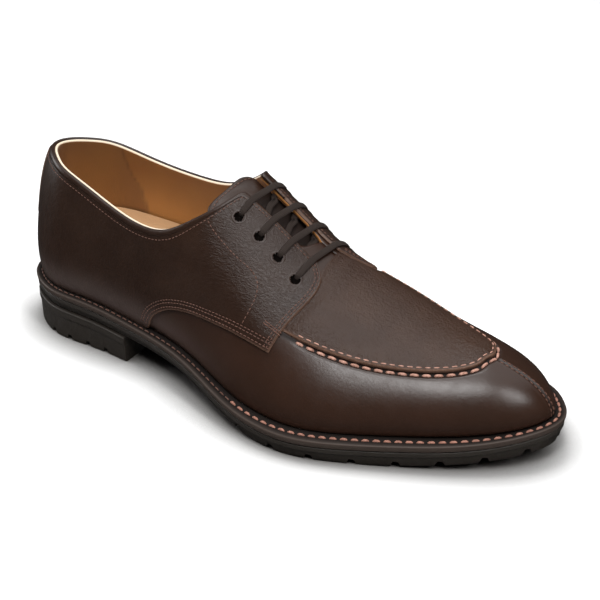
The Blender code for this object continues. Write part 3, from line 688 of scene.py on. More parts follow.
def make_upper(leather, lining):
    """The hollow upper: its outer face is the vamp's leather and its inner face the lining."""
    ahead = np.linspace(TOE - 0.5, TOE + 0.5, 81)[:-1]
    u = np.concatenate([np.linspace(0, TOE - 0.5, 201)[:-1], ahead, np.linspace(TOE + 0.5, ROUND, 201)[:-1]])
    high = upper_top(u)[:, None]
    seam = np.clip(through(APRON, u)[:, None] / high, 0.2, 0.9)
    low, near, far = np.linspace(0, 1, 22)[:-1], np.linspace(0, 1, 20)[:-1], np.linspace(0, 1, 18)
    t = high * np.hstack([(seam - 0.09) * low, seam - 0.09 + 0.13 * near, seam + 0.04 + (0.96 - seam) * far])
    columns = u[:, None] + 0 * t
    outer = upper_face(columns, t, vamp_relief(columns, t))
    inner = upper_face(columns, t, 0 * t - WALL)
    points, faces, kinds = shell(outer, inner, True)
    # Painted shade in the groove below the apron's seam, and a darker line along the toe seam's cut, on the
    # outer face
    below = (through(APRON, columns) - t) * mm_per_t(columns, t)
    fold = np.where(np.abs(columns - TOE) < 6, 0.95 * hump(below - 0.9, 1.4), 0)
    beside = np.abs(columns - TOE) * mm_per_u(columns, t)
    fold = np.maximum(fold, np.where(below > 0, 0.75 * hump(beside, 0.8), 0)).ravel()
    behind = np.interp(inner[..., 2], *HEEL_GRIP.values()) - inner[..., 0]
    line = 0.5 * hump(behind, 0.9).ravel()
    grip = np.clip(behind / 1.5, 0, 1).ravel()
    pale = np.clip((PALE_BELOW - inner[..., 2]) / PALE_FADE, 0, 1).ravel() * (1 - grip)
    # dark: the painted shade above on the outer face, and a dark seam line on the lining; low: a painted sheen
    # for the floor's reflection on the outer face, and the paler lining low down
    marks = {
        "dark": np.concatenate([fold, line]),
        "grip": np.concatenate([0 * grip, grip]),
        "low": np.concatenate([painted_floor_sheen(outer).ravel(), pale]),
    }
    return add_piece("upper_shell", points, faces, [leather, lining], ("upper",),
                     np.minimum(kinds, 1), marks)


def lateral_side(u):
    return u


def medial_side(u):
    return ROUND - u


def quarter_shares(u):
    return t_at_height(u, QUARTER_EDGE), top_edge(u)


def front_of(place):
    return FRONT_LATERAL if place is lateral_side else FRONT_MEDIAL


def hole_middles(place, out):
    """The lace holes of one facing on the upper's face, and the outward direction at each."""
    side, reach = ("lateral", "reach") if place is lateral_side else ("medial", "medial_reach")
    u = place(u_at(LACE_HOLES[side]))
    t = t_at_reach(u, to_ridge(u, LACE_HOLES[reach]))
    return upper_face(u, t, out + 0 * t), outward(u, t)


# Painted sheen low on the leather, a lighter colour that stands in for the floor's reflection: where along
# the shoe it ends and its fade there, then its full height over the welt, its fade above that, and the height
# over which it starts
SHEEN_TO = 165
SHEEN_FADE = 60
SHEEN_HIGH = 6
SHEEN_SOFT = 9
SHEEN_FOOT = 5


def painted_floor_sheen(points):
    """Painted reflection of the floor: 1 a little over the welt at the heel, fading upward and towards the
    forefoot.
    """
    high = points[..., 2] - welt_top(points[..., 0])
    ahead = np.clip((SHEEN_TO - points[..., 0]) / SHEEN_FADE, 0, 1)
    return ahead * hump(np.maximum(high - SHEEN_HIGH, 0), SHEEN_SOFT) * np.clip(high / SHEEN_FOOT, 0, 1)


# A quarter's columns are even up to here, and close up towards its front edge ahead of it
EVEN_TO = 140.0
PANEL_ROUND = 0.9
STITCH_PRESS = 0.12
HOLE_RADIUS = 2.6
# Where the facing's wrinkles start along the shoe and up the quarter in t, each with its fade
WRINKLES_FROM = (118, 20)
WRINKLES_OVER = (0.35, 0.15)


def ramp(values, start, fade):
    """0 up to the start, then a straight rise to 1 over the fade."""
    return np.clip((values - start) / fade, 0, 1)


def make_quarter(name, place, leather):
    """One quarter: a panel with rounded edges, from the back seam to the front, between arch and top."""
    share = close_at_ends(64)
    front = u_at(through(front_of(place), share))
    start = u_at(EVEN_TO)
    behind = np.linspace(GAP / 2 / BACK_ARC, start, 150)[:-1, None] + 0 * share
    reach = 1 - (1 - np.linspace(0, 1, 80)) ** 1.5
    u = place(np.vstack([behind, start + reach[:, None] * (front - start)]))
    low, high = quarter_shares(u)
    t = low + (high - low) * share
    if u[0, 0] > TOE:
        u, t, low = u[::-1], t[::-1], low[::-1]
    base = upper_point(u, t)
    from_low = arc_from_start(base, 1)
    from_top = from_low[:, -1:] - from_low
    from_front = arc_from_start(base, 0) if u[0, 0] > TOE else arc_from_start(base[::-1], 0)[::-1]
    from_low = np.where(low < 0.002, 50, from_low)
    nearest = np.minimum(np.minimum(from_low, from_front), from_top)
    pressed = hump(from_low - 1.8, 0.6) + hump(from_low - 4.6, 1.1) + hump(from_front - 2.1, 0.6)
    out = PANEL_LIFT + PANEL * (1 - edge_drop(nearest, PANEL_ROUND)) - STITCH_PRESS * pressed
    points, faces, kinds = shell(upper_face(u, t, out), upper_face(u, t, 0 * t + PANEL_LIFT))
    middles, _ = hole_middles(place, PANEL_LIFT + PANEL)
    centres = points[faces].mean(1)
    apart = np.linalg.norm(centres[:, None] - middles, axis=-1).min(1)
    kept = (apart > HOLE_RADIUS) | (kinds == 1)
    edge = outer_only(hump(nearest, 0.75))
    wrinkled = outer_only(ramp(base[..., 0], *WRINKLES_FROM) * ramp(t, *WRINKLES_OVER))
    # low marks a painted sheen that stands in for the floor's reflection
    return add_piece(name + "_panel", points, faces[kept], [leather], (name,),
                     marks={"edge": edge, "wrinkled": wrinkled, "low": painted_floor_sheen(points)})


def quarter_front_u(place, t):
    """Lateral u of a quarter's front edge at each t, held ahead of the lateral throat corner above it."""
    corner = through(FRONT_LATERAL, THROAT_SHARE)
    ahead = np.full_like(t, u_at(FRONT_GUESS))
    for _ in range(4):
        u = place(ahead)
        low, high = t_at_height(u, QUARTER_EDGE), top_edge(u)
        share = np.minimum((t - low) / (high - low), 1)
        edge = through(front_of(place), share)
        ahead = u_at(np.where(share > THROAT_SHARE, np.maximum(edge, corner), edge))
    return ahead


# The plug's back edge: how far it reaches under the quarters, the length ahead of them over which it sinks,
# and its height where it has sunk
APRON_UNDER = 3.0
APRON_DIVE = 6.0
APRON_LOW = 0.35
# Wrinkles of the plug: where they start to fade along the shoe, and the length of the fade
PLUG_WRINKLES = 190
PLUG_FADE = 35


def make_apron(leather):
    """The plug: every rib from the seam to the ridge. Its back edge dives under the quarters."""
    share = np.concatenate([[0, 0.006, 0.014, 0.024, 0.036], np.linspace(0.05, 1, 44)])
    toe = np.linspace(LAST_ACROSS, TOE, 70)[:, None] + 0 * share
    step = u_at(FRONT_GUESS + 1) - u_at(FRONT_GUESS)
    halves, dives = [], []
    for place in (lateral_side, medial_side):
        seam = through(APRON, place(u_at(FRONT_GUESS)))
        edge = quarter_front_u(place, seam + (1 - seam) * share) - APRON_UNDER * step
        side = edge + np.linspace(0, 1, 70)[:-1, None] ** 1.3 * (LAST_ACROSS - edge)
        halves.append(place(np.vstack([side, toe])))
        past = (np.vstack([side, toe]) - edge) / step - APRON_UNDER
        dives.append(np.clip(past / APRON_DIVE, 0, 1))
    u = np.vstack([halves[0], halves[1][-2::-1]])
    dive = eased(np.vstack([dives[0], dives[1][-2::-1]]))
    low = through(APRON, u)
    t = low + (1 - low) * share
    u[:, -1] = np.where(np.abs(u[:, -1] - TOE) < TOE_FAN, TOE, u[:, -1])
    from_seam = arc_from_start(upper_point(u, t), 1)
    top = APRON_LOW + (PANEL_LIFT + PANEL - APRON_LOW) * dive
    out = top - (top - 0.1) * edge_drop(from_seam, 1.5) - 0.18 * hump(from_seam - 2.6, 0.6)
    points, faces, _ = shell(upper_face(u, t, out), upper_face(u, t, 0 * t))
    rows = len(share)
    faces = faces[~(faces % rows == rows - 1).all(1)]
    # edge marks a painted highlight along the plug's rolled edge
    edge = outer_only(hump(from_seam - 0.75, 0.5))
    near = outer_only(np.clip(1 - (upper_point(u, t)[..., 0] - PLUG_WRINKLES) / PLUG_FADE, 0, 1))
    made = add_piece("apron_plug", points, faces, [leather], ("apron",),
                     marks={"edge": edge, "wrinkled": near})
    weld(made.data)
    return made


# Painted shade on the tongue inside the slot, under the facings: where it starts along the shoe, and its fade
SLOT_SHADE_FROM = (140, 8)


def make_tongue(leather, thread):
    """A sheet under the facings that runs on behind them to a free, round-cornered end with a rim."""
    place = np.linspace(TONGUE_DEPTH["s"][0], TONGUE_DEPTH["s"][-1], 40)
    depth = WALL + np.interp(place, *TONGUE_DEPTH.values())[:, None]
    shares = np.linspace(1, 0, 26)
    halves = []
    for u, widest in ((u_at(place), TONGUE_LATERAL), (ROUND - u_at(place), TONGUE_MEDIAL)):
        columns = np.broadcast_to(u[:, None], (len(u), len(shares)))
        t = t_at_reach(columns, widest * shares)
        halves.append((upper_face(columns, t, -depth + 0 * t), outward(columns, t)))
    outer = np.concatenate([halves[0][0], halves[1][0][:, -2::-1]], 1)
    across = np.linspace(0, 1, outer.shape[1])
    end = np.stack([through_column(TONGUE_END, name, across) for name in "syz"], -1)
    runs = np.linspace(1, 0, 30)[:-1, None] * (1 - TONGUE_CORNER * np.abs(2 * across - 1) ** 6)
    free = outer[0] + (end - outer[0]) * runs[..., None]
    sheet = np.concatenate([free, outer])
    normal = unit(np.cross(np.gradient(sheet, axis=1), np.gradient(sheet, axis=0)))
    normal *= np.sign(normal[..., 2:])
    from_end = arc_from_start(sheet, 0)
    from_side = np.minimum(arc_from_start(sheet, 1), arc_from_start(sheet[:, ::-1], 1)[:, ::-1])
    nearest = np.minimum(from_end, from_side)
    rim = 0.35 * hump(nearest - 1.5, 1.6)
    drop = 0.8 * edge_drop(nearest, 0.9)
    upper_side = sheet + normal * (rim - drop)[..., None]
    under_side = sheet - normal * (TONGUE_THICK - drop)[..., None]
    points, faces, _ = shell(under_side, upper_side)
    if np.cross(sheet[1, 0] - sheet[0, 0], sheet[0, 1] - sheet[0, 0])[2] > 0:
        points, faces, _ = shell(upper_side, under_side)
    # Painted shade on the tongue inside the slot, carried in the dark mark
    slot_shade = ramp(sheet[..., 0], *SLOT_SHADE_FROM).ravel() * 0.75
    add_piece("tongue_sheet", points, faces, [leather], ("tongue",),
              marks={"dark": np.concatenate([slot_shade, slot_shade])})
    inside = np.arange(3, len(across) - 3)
    row = np.array([[np.interp(2.6, from_end[:, j], upper_side[:, j, k]) for k in range(3)] for j in inside])
    stitches = stitches_along(row, normal[3, inside], *TONGUE_STITCH)
    return add_stitches("tongue_stitches", [stitches], thread)


def top_rib_frame(u, t):
    """Point of the upper's top edge, the outward direction there and the way on along the rib."""
    up = unit(upper_point(u, t) - upper_point(u, t - 0.01))
    side = outward(u, t)
    side = unit(side - up * (side * up).sum(-1, keepdims=True))
    return upper_point(u, t), side, up


# Where the rim and the bead end on the facings, and the length over which the rim sinks into the leather
RIM_TO = 154.0
RIM_FADE = 12.0
BEAD_TO = 141.0
# Sections of the rim and of the bead: out from the collar's edge, and up from it
RIM_SECTION = np.array(
    [(1.7, -3.1), (1.97, -2.7), (2.08, -1.5), (2.0, -0.5), (1.55, 0.3), (0.8, 0.6), (0.1, 0.42),
     (-0.3, -0.2), (-0.2, -1.4), (0.5, -2.9)]
)
BEAD_SECTION = np.array(
    [(-0.2, -1.6), (-0.25, 0.05), (-0.5, 0.5), (-0.95, 0.62), (-1.4, 0.4), (-1.65, -0.15), (-1.75, -0.9),
     (-1.6, -1.9)]
)
# The rim narrows about this distance out from the edge where it sinks into the leather
RIM_MIDDLE = 0.4


def make_collar(leather, cream):
    """A rolled leather rim over the collar's edge, and the pale bead of the lining inside it."""
    u = np.mod(np.linspace(-u_at(RIM_TO), u_at(RIM_TO), 400), ROUND)
    path, side, up = top_rib_frame(u, top_edge(u))
    fade = eased(np.clip((RIM_TO - rib(u)[0]) / RIM_FADE, 0, 1))[:, None]
    out, high = RIM_SECTION.T
    section = np.stack([RIM_MIDDLE + (out - RIM_MIDDLE) * (0.6 + 0.4 * fade), high * (0.5 + 0.5 * fade)], -1)
    faces = tube_quads(len(u), len(RIM_SECTION))
    add_piece("collar_rim", tube(path, side, up, section), faces, [leather])
    u = np.mod(np.linspace(-u_at(BEAD_TO), u_at(BEAD_TO), 260), ROUND)
    path, side, up = top_rib_frame(u, top_edge(u))
    faces = tube_quads(len(u), len(BEAD_SECTION))
    add_piece("lining_bead", tube(path, side, up, BEAD_SECTION[None]), faces, [cream])


# Strip over the back seam: its length, how far it starts below the collar's edge, and half its width in u
BACK_STRIP = 32.0
BACK_STRIP_DOWN = 3.0
BACK_STRIP_HALF = 0.3


def make_back_strip(leather):
    """A narrow strip over the back seam, from the collar's rim down, with rounded edges."""
    u = np.mod(np.linspace(-1, 1, 40) * BACK_STRIP_HALF, ROUND)
    share = close_at_ends(40)
    high = top_edge(u)[:, None]
    t = high - (BACK_STRIP_DOWN + share * BACK_STRIP) / mm_per_t(u, high[:, 0] * 0.85)[:, None]
    t = t[:, ::-1]
    columns = u[:, None] + 0 * t
    base = upper_point(columns, t)
    from_low = arc_from_start(base, 1)
    from_side = np.minimum(arc_from_start(base, 0), arc_from_start(base[::-1], 0)[::-1])
    nearest = np.minimum(from_low, from_side)
    out = PANEL_LIFT + PANEL + 0.9 * (1 - edge_drop(nearest, 0.8))
    points, faces, _ = shell(upper_face(columns, t, out), upper_face(columns, t, 0 * t + PANEL_LIFT))
    edge = outer_only(hump(nearest, 0.6))
    marks = {"edge": edge, "wrinkled": 0 * edge}
    return add_piece("back_strip", points, faces, [leather], marks=marks)


# Laces and their holes

# Radius and height of a hole's ring and cup, from the ring's outer edge inwards
HOLE_PROFILE = np.array(
    [(3.8, -0.1), (3.5, 0.08), (3.0, 0.12), (2.6, -0.06), (2.4, -0.5), (2.3, -1.25), (0.05, -1.28)]
)


def make_holes(leather, shade):
    """A pressed ring and a cup of painted shade at every lace hole: one profile turned about the hole's axis.
    """
    facings = [hole_middles(place, PANEL_LIFT + PANEL) for place in (lateral_side, medial_side)]
    middles, axes = (np.concatenate(both) for both in zip(*facings))
    side = unit(np.cross(axes, [1.0, 0, 0]))
    other = np.cross(axes, side)
    angle = np.linspace(0, 2 * np.pi, 33)[:-1]
    spoke = np.cos(angle)[None, :, None] * side[:, None] + np.sin(angle)[None, :, None] * other[:, None]
    radius, height = HOLE_PROFILE.T
    reach = spoke[:, :, None] * radius[:, None]
    points = middles[:, None, None] + reach + axes[:, None, None] * height[:, None]
    each = grid_quads(len(angle), len(radius), True)
    faces = (each[None] + len(angle) * len(radius) * np.arange(len(middles))[:, None, None]).reshape(-1, 4)
    # The cup's faces take the dark hole_shade finish: painted shade in the hole
    inside = np.tile(np.arange(len(radius) - 1) >= 3, len(angle) * len(middles))
    return add_piece("lace_holes", points, faces, [leather, shade], kinds=inside)


def softened(path, rounds):
    """Averages each point of a path with its neighbours, with the ends held."""
    for _ in range(rounds):
        path[1:-1] = (path[:-2] + 2 * path[1:-1] + path[2:]) / 4
    return path


def flat_section(wide, thick, count=16):
    """A flat rounded section, wide to the side and thin upward, one row for each stop of a path."""
    angle = np.linspace(0, 2 * np.pi, count + 1)[:-1]
    across = np.sign(np.cos(angle)) * np.abs(np.cos(angle)) ** 0.6
    over = np.sign(np.sin(angle)) * np.abs(np.sin(angle)) ** 0.9
    return np.stack([np.outer(wide, across) / 2, np.outer(thick, over) / 2], -1)


def add_lace(name, path, up, wide, thick, cloth, stands_for=()):
    ahead = unit(np.gradient(path, axis=0))
    up = unit(up - ahead * (up * ahead).sum(-1, keepdims=True))
    side = np.cross(ahead, up)
    section = flat_section(wide, thick)
    points = tube(path, side, up, section)
    along = np.repeat(run_along(path)[:, None], section.shape[1], 1)
    return add_piece(name, points, tube_quads(*points.shape[:2]), [cloth], stands_for,
                     marks={"along": along.ravel(), "across": section[..., 0].ravel()})


# How far a lace lies below the facings' own curve in the middle of the slot
LACE_SAG = 0.9
# A bar's end in its hole: how far each stop lies from the hole's middle, and its lift, then the lift of
# the level run and where that starts
LACE_ENTRY = np.array([-1.2, -1.4, -1.8, -2.6])
LACE_RISE = np.array([-1.0, 0.2, 1.5, PANEL_LIFT + PANEL + 0.45])
LACE_LEVEL = PANEL_LIFT + PANEL + LACE_THICK / 2 - 0.05
LEVEL_FROM = 3.8
# Length over which a bar widens from its hole
LACE_WIDENS = 4.5
# Reach of the hidden cross runs to the lateral and the medial side of the slot's middle
CROSS_LATERAL = 15
CROSS_MEDIAL = 14


def make_laces(cloth):
    """Four flat bars from hole to hole, and a cross run below each pair of bars, through the slot."""
    for number, (lateral, reach, medial, medial_reach) in enumerate(zip(*LACE_HOLES.values()), 1):
        half = float(through(SLOT_HALF, lateral))
        level = np.full(24, LACE_LEVEL)
        from_lateral, from_medial = (
            np.concatenate([hole + LACE_ENTRY, np.linspace(hole - LEVEL_FROM, half, 24)])
            for hole in (reach, medial_reach)
        )
        across = np.concatenate([from_lateral, -from_medial[::-1]])
        side = u_at(np.interp(-across, (-reach, medial_reach), (lateral, medial)))
        u = np.where(across > 0, side, ROUND - side)
        t = t_at_reach(u, to_ridge(u, np.abs(across)))
        lift = np.concatenate([LACE_RISE, level, level, LACE_RISE[::-1]])
        lift -= LACE_SAG * np.clip(1 - (across / half) ** 2, 0, 1)
        ends = upper_face(u, t, lift)
        run = run_along(ends)
        even = np.linspace(0, run[-1], 110)
        path = softened(at_run(ends, run, even), 6)
        up = softened(at_run(outward(u, t), run, even), 20)
        into = eased(np.clip(np.minimum(even, run[-1] - even) / LACE_WIDENS, 0, 1))
        wide, thick = (0.72 + 0.28 * into) * LACE_WIDTH, (1.35 - 0.35 * into) * LACE_THICK
        add_lace(f"lace_bar_{number}", path, up, wide, thick, cloth, (f"lace_{number}",))
    for number in range(1, 4):
        lower, higher = LACE_HOLES["lateral"][number], LACE_HOLES["medial"][number - 1]
        across = np.linspace(CROSS_LATERAL, -CROSS_MEDIAL, 40)
        side = u_at(np.interp(-across, (-CROSS_LATERAL, CROSS_MEDIAL), (lower, higher)))
        u = np.where(across > 0, side, ROUND - side)
        t = t_at_reach(u, to_ridge(u, np.abs(across)))
        path = upper_face(u, t, -WALL - 0.75 + 0.5 * hump(across, 6.0))
        wide, thick = np.full(40, LACE_WIDTH * 0.95), np.full(40, 1.0)
        add_lace(f"lace_cross_{number}", path, outward(u, t), wide, thick, cloth)


# Sole pieces

def stacked(stops):
    """Points of a loft round the shoe, from stops that are each an outline and a height along the shoe."""
    return np.stack([np.column_stack([plan, height(plan[:, 0])]) for plan, height in stops], 1)


def centre_line(u):
    centre, middle, _, _ = rib(u)
    return np.stack([centre, middle], -1)


def inner_ring(u):
    """Outline of the welt's inner edge."""
    return outline(u, lap(u) + WELT_INSIDE)


def all_round(count):
    return np.linspace(0, ROUND, count, endpoint=False)


def below_welt(drop):
    return lambda s: welt_top(s) - drop


def stitch_inset(u):
    """How far the welt's stitches stand in from its edge."""
    return 0.52 * lap(u)


def make_welt(leather):
    """The welt's ring: a rounded edge, a bevel with a pale line, partly worn and partly a painted highlight, a
    shallow channel for the stitches, and painted shade towards the upper.
    """
    u = all_round(480)
    channel = stitch_inset(u)
    stops = [
        (inner_ring(u), below_welt(WELT_THICK)),
        (outline(u, WELT_UNDERCUT + 0.5), below_welt(WELT_THICK)),
        (outline(u, WELT_UNDERCUT), below_welt(WELT_THICK - 0.35)),
        (outline(u, 0.05), below_welt(1.6)),
        (outline(u, 0.0), below_welt(WELT_BEVEL)),
        (outline(u, 0.3), below_welt(0.3)),
        (outline(u, WELT_BEVEL), below_welt(0.04)),
        (outline(u, channel - 1.0), below_welt(0)),
        (outline(u, channel - 0.5), below_welt(0.2)),
        (outline(u, channel), below_welt(0.4)),
        (outline(u, channel + 0.5), below_welt(0.2)),
        (outline(u, channel + 1.0), below_welt(0)),
        (outline(u, lap(u) - 0.4), below_welt(0)),
        (outline(u, lap(u) + 1.0), below_welt(0.25)),
        (inner_ring(u), below_welt(0.25)),
    ]
    rows = stacked(stops)
    rows = np.concatenate([rows, rows[:, :1]], 1)
    # For each stop: its distance from the pale edge, which is partly worn and partly a painted highlight, and
    # how much painted shade darkens it towards the upper
    inset = np.array([9, 9, 0.2, 0.1, 0.0, 0.3, 0.85, 3, 3, 3, 3, 3, 9, 9, 9, 9])
    edge = np.broadcast_to(hump(inset - 0.4, 0.45), rows.shape[:2])
    dark = np.broadcast_to(np.array([0] * 6 + [0.3] + [0.8] * 5 + [0.9] * 3 + [0]), rows.shape[:2])
    faces = grid_quads(*rows.shape[:2], True)
    marks = {"edge": edge.ravel(), "dark": dark.ravel()}
    return add_piece("welt_ring", rows, faces, [leather], ("welt",), marks=marks, sharp=60)


# How far the sock's rim turns up the lining at the heel, over the solid's cup
SOCK_LIP = 5.0


def heel_share(s):
    """1 under the heel and 0 under the forefoot, with a soft change between them."""
    ahead = np.clip((s - BED_FROM) / (BED_TO - BED_FROM), 0, 1)
    return 1 - eased(ahead)


def make_insole(leather):
    """The sock: a plate over the welt's ring inside the upper, raised and softly cupped under the heel."""
    u = all_round(240)
    wide = lap(u) + WALL + 0.1

    def ledge(s):
        return welt_top(s) + GAP

    def top(s):
        return ledge(s) + INSOLE_THICK + HEEL_BED * heel_share(s)

    def cup(share):
        """Stop between the middle line, at 0, and the rim, at 1: a fourth power, and a lip up the wall."""
        plan = centre_line(u) * (1 - share) + outline(u, wide) * share
        lip = SOCK_LIP * np.clip((share - 0.93) / 0.07, 0, 1) ** 2
        return plan, lambda s: top(s) + (HEEL_CUP * share**4 + lip) * heel_share(s)

    bottom = below_welt(WELT_THICK)
    inside = outline(u, lap(u) + WELT_INSIDE + GAP)
    stops = [(centre_line(u), bottom), (inside, bottom), (inside, ledge), (outline(u, wide), ledge)]
    stops += [cup(share) for share in (1, 0.985, 0.97, 0.95, 0.93, 0.88, 0.8, 0.7, 0.5, 0.25, 0)]
    rows = stacked(stops)
    faces = grid_quads(*rows.shape[:2], True)
    return add_piece("sock", rows, faces, [leather], ("insole",), sharp=50)


def boxes(corners):
    """Closed boxes, each from four corners of its floor and four of its roof, in the same turn."""
    sides = np.array([[0, 3, 2, 1], [4, 5, 6, 7], [0, 1, 5, 4], [1, 2, 6, 5], [2, 3, 7, 6], [3, 0, 4, 7]])
    return np.concatenate(corners), (sides[None] + 8 * np.arange(len(corners))[:, None, None]).reshape(-1, 4)


def notch_box(u, width, reach, tread):
    """A box across the sole's edge at u, open outwards and to the floor and narrower at its roof."""
    edge, inner = outline(np.array([u]), -CUT_OUTSIDE)[0], outline(np.array([u]), reach)[0]
    inward = (inner - edge) / np.linalg.norm(inner - edge)
    aside = np.array([-inward[1], inward[0]]) * width / 2
    wider = 1 + (1 - NOTCH_TAPER) * NOTCH_BELOW / LUG_DEPTH
    levels = []
    for half, z in ((aside * wider, tread - NOTCH_BELOW), (aside * NOTCH_TAPER, tread + LUG_DEPTH)):
        corners = np.array([edge - half, inner - half, inner + half, edge + half])
        levels.append(np.column_stack([corners, np.full(4, z)]))
    return np.vstack(levels)


def outsole_cuts():
    """Notches at one pitch along the forefoot's edge, and cross grooves between them under the ball."""
    u = np.linspace(u_at(LUG_FROM), ROUND - u_at(LUG_FROM), 400)
    run = run_along(welt_edge(u))
    count = int(run[-1] // LUG_PITCH)
    places = np.interp(np.arange(count + 1) * run[-1] / count, run, u)
    cuts = []
    for place in places:
        s = welt_edge(np.array([place]))[0, 0]
        cuts.append(notch_box(place, LUG_NOTCH, LUG_REACH, float(outsole_bottom(s))))
    for s in np.arange(LUG_FROM + LUG_PITCH / 2, GROOVES_TO, LUG_PITCH):
        side = u_at(s)
        lateral = outline(np.array([side]), GROOVE_MARGIN)[0, 1]
        medial = outline(np.array([ROUND - side]), GROOVE_MARGIN)[0, 1]
        ends = (s - GROOVE_WIDTH / 2, s + GROOVE_WIDTH / 2)
        floor = np.array([(ends[0], lateral), (ends[1], lateral), (ends[1], medial), (ends[0], medial)])
        roof = float(outsole_bottom(s)) + LUG_DEPTH
        cuts.append(np.vstack([np.column_stack([floor, np.full(4, z)]) for z in (CUT_FLOOR, roof)]))
    return boxes(cuts)


def heel_cuts():
    cuts = []
    for s in HEEL_NOTCHES:
        side = np.linspace(0.3, FIRST_ACROSS + 1, 271)
        for u in (side, ROUND - side):
            place = u[np.argmin(np.abs(welt_edge(u)[:, 0] - s))]
            cuts.append(notch_box(place, HEEL_NOTCH, HEEL_NOTCH_REACH, 0.0))
    return boxes(cuts)


def plain_mesh(name, points, faces):
    mesh = bpy.data.meshes.new(name)
    mesh.from_pydata(placed(points.reshape(-1, 3)).tolist(), [], faces.tolist())
    made = bpy.data.objects.new(name, mesh)
    bpy.context.scene.collection.objects.link(made)
    weld(mesh)
    return made


def add_cut_piece(name, body, cuts, finish, stands_for):
    """A closed body less the boxes of its notches, kept as one plain mesh."""
    whole, cutter = plain_mesh(name, *body), plain_mesh(name + "_cuts", *cuts)
    notched = whole.modifiers.new("notches", "BOOLEAN")
    notched.object = cutter
    bpy.context.view_layer.update()
    solved = whole.evaluated_get(bpy.context.evaluated_depsgraph_get())
    mesh = bpy.data.meshes.new_from_object(solved)
    whole.modifiers.clear()
    whole.data = mesh
    bpy.data.objects.remove(cutter, do_unlink=True)
    mesh.materials.clear()
    mesh.materials.append(finish)
    mesh.shade_smooth()
    mesh.set_sharp_from_angle(angle=math.radians(35))
    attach(whole, "root")
    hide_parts(*stands_for)
    return whole


def make_outsole(rubber):
    """A plate with a moulded step round its side, an arch, a flat tread and a sprung toe."""
    u = all_round(360)
    stops = [
        (centre_line(u), outsole_bottom),
        (outline(u, TREAD_INSET), outsole_bottom),
        (outline(u, TREAD_INSET - 0.6 * TREAD_ROUND), lambda s: outsole_bottom(s) + 0.3 * TREAD_ROUND),
        (outline(u, TREAD_INSET - TREAD_ROUND), lambda s: outsole_bottom(s) + TREAD_ROUND),
        (outline(u, STEP_INSET), lambda s: outsole_top(s) - SIDE_STEP - STEP_FALL),
        (outline(u, RIM_INSET), lambda s: outsole_top(s) - SIDE_STEP),
        (outline(u, RIM_INSET), lambda s: outsole_top(s) - 0.4),
        (outline(u, RIM_INSET + 0.4), outsole_top),
        (inner_ring(u), outsole_top),
        (centre_line(u), outsole_top),
    ]
    rows = stacked(stops)
    faces = grid_quads(*rows.shape[:2], True)
    return add_cut_piece("outsole_plate", (rows, faces), outsole_cuts(), rubber, ("outsole",))


def make_heel(rubber):
    """The heel block: slightly tapered, straight at its breast, with one moulded line near its top."""
    breast = u_at(HEEL_BREAST - GAP)
    u = np.linspace(-breast, breast, 161)

    def seat(s):
        return outsole_top(s) - OUTSOLE_HEEL - GAP

    rows = stacked(
        [
            (centre_line(u), lambda s: 0 * s),
            (outline(u, HEEL_TREAD_INSET), lambda s: 0 * s),
            (outline(u, HEEL_TREAD_INSET - HEEL_ROUND), lambda s: 0 * s + HEEL_ROUND),
            (outline(u, HEEL_STEP_INSET), lambda s: seat(s) - HEEL_LINE - STEP_FALL),
            (outline(u, RIM_INSET), lambda s: seat(s) - HEEL_LINE),
            (outline(u, RIM_INSET), lambda s: seat(s) - 0.4),
            (outline(u, RIM_INSET + 0.4), seat),
            (centre_line(u), seat),
        ]
    )
    columns, levels = rows.shape[:2]
    index = np.arange(columns * levels).reshape(columns, levels)
    breast_face = np.stack([index[-1, 1:], index[-1, :-1], index[0, :-1], index[0, 1:]], -1)
    faces = np.vstack([grid_quads(columns, levels), breast_face])
    return add_cut_piece("heel", (rows, faces), heel_cuts(), rubber, ("heel_block",))


# Stitching

def quarter_edges(place):
    """Paths of one quarter: its arch from welt to tip, its front edge up to the slot, and its top edge."""
    tip = u_at(front_of(place)["s"][0])
    arch = place(np.linspace(u_at(97.5), tip, 240))
    share = np.linspace(0.02, 0.985, 160)
    front = place(u_at(through(front_of(place), share)))
    low, high = quarter_shares(front)
    top = place(np.linspace(0.34, u_at(front_of(place)["s"][-1] - 2.5), 600))
    return {
        "arch": (arch, t_at_height(arch, QUARTER_EDGE)),
        "front": (front, low + (high - low) * share),
        "top": (top, top_edge(top)),
    }


# Seam that sets the facing off from the rest of the quarter, from the collar down to the arch
EYESTAY = named_table(
    ("step", "s", "z"),
    [(0, 130.3, 91.6), (1, 134.9, 87.5), (2, 142.2, 82.5), (3, 151.5, 77), (4, 159.1, 72.6),
     (4.5, 162.5, 69.2), (5.1, 164.3, 63.8), (5.8, 163.5, 57.3), (6.5, 161.9, 51.6)],
)


def eyestay_path(place):
    step = np.linspace(0, EYESTAY["step"][-1], 160)
    s, z = (through_column(EYESTAY, name, step) for name in "sz")
    u = place(u_at(s))
    return u, find_t(u, lambda p: p[..., 2] < z)


# Bar tack that holds the bottom of the facings: both ends, as places along the shoe and heights
TACK = ((172.0, 54.0), (181.2, 49.8))


def tack_path(place):
    s, z = (np.linspace(*ends, 20) for ends in zip(*TACK))
    u = place(u_at(s))
    return u, find_t(u, lambda p: p[..., 2] < z)


# Rows along a quarter's arch and front edge, and beside its tack, by their distance from that path
ARCH_ROWS = (1.8, 3.9, 5.4)
FRONT_ROWS = (1.9, 3.4)
TACK_ROWS = (-0.6, 0.6)
TOE_ROWS = (-1.1, 1.1)
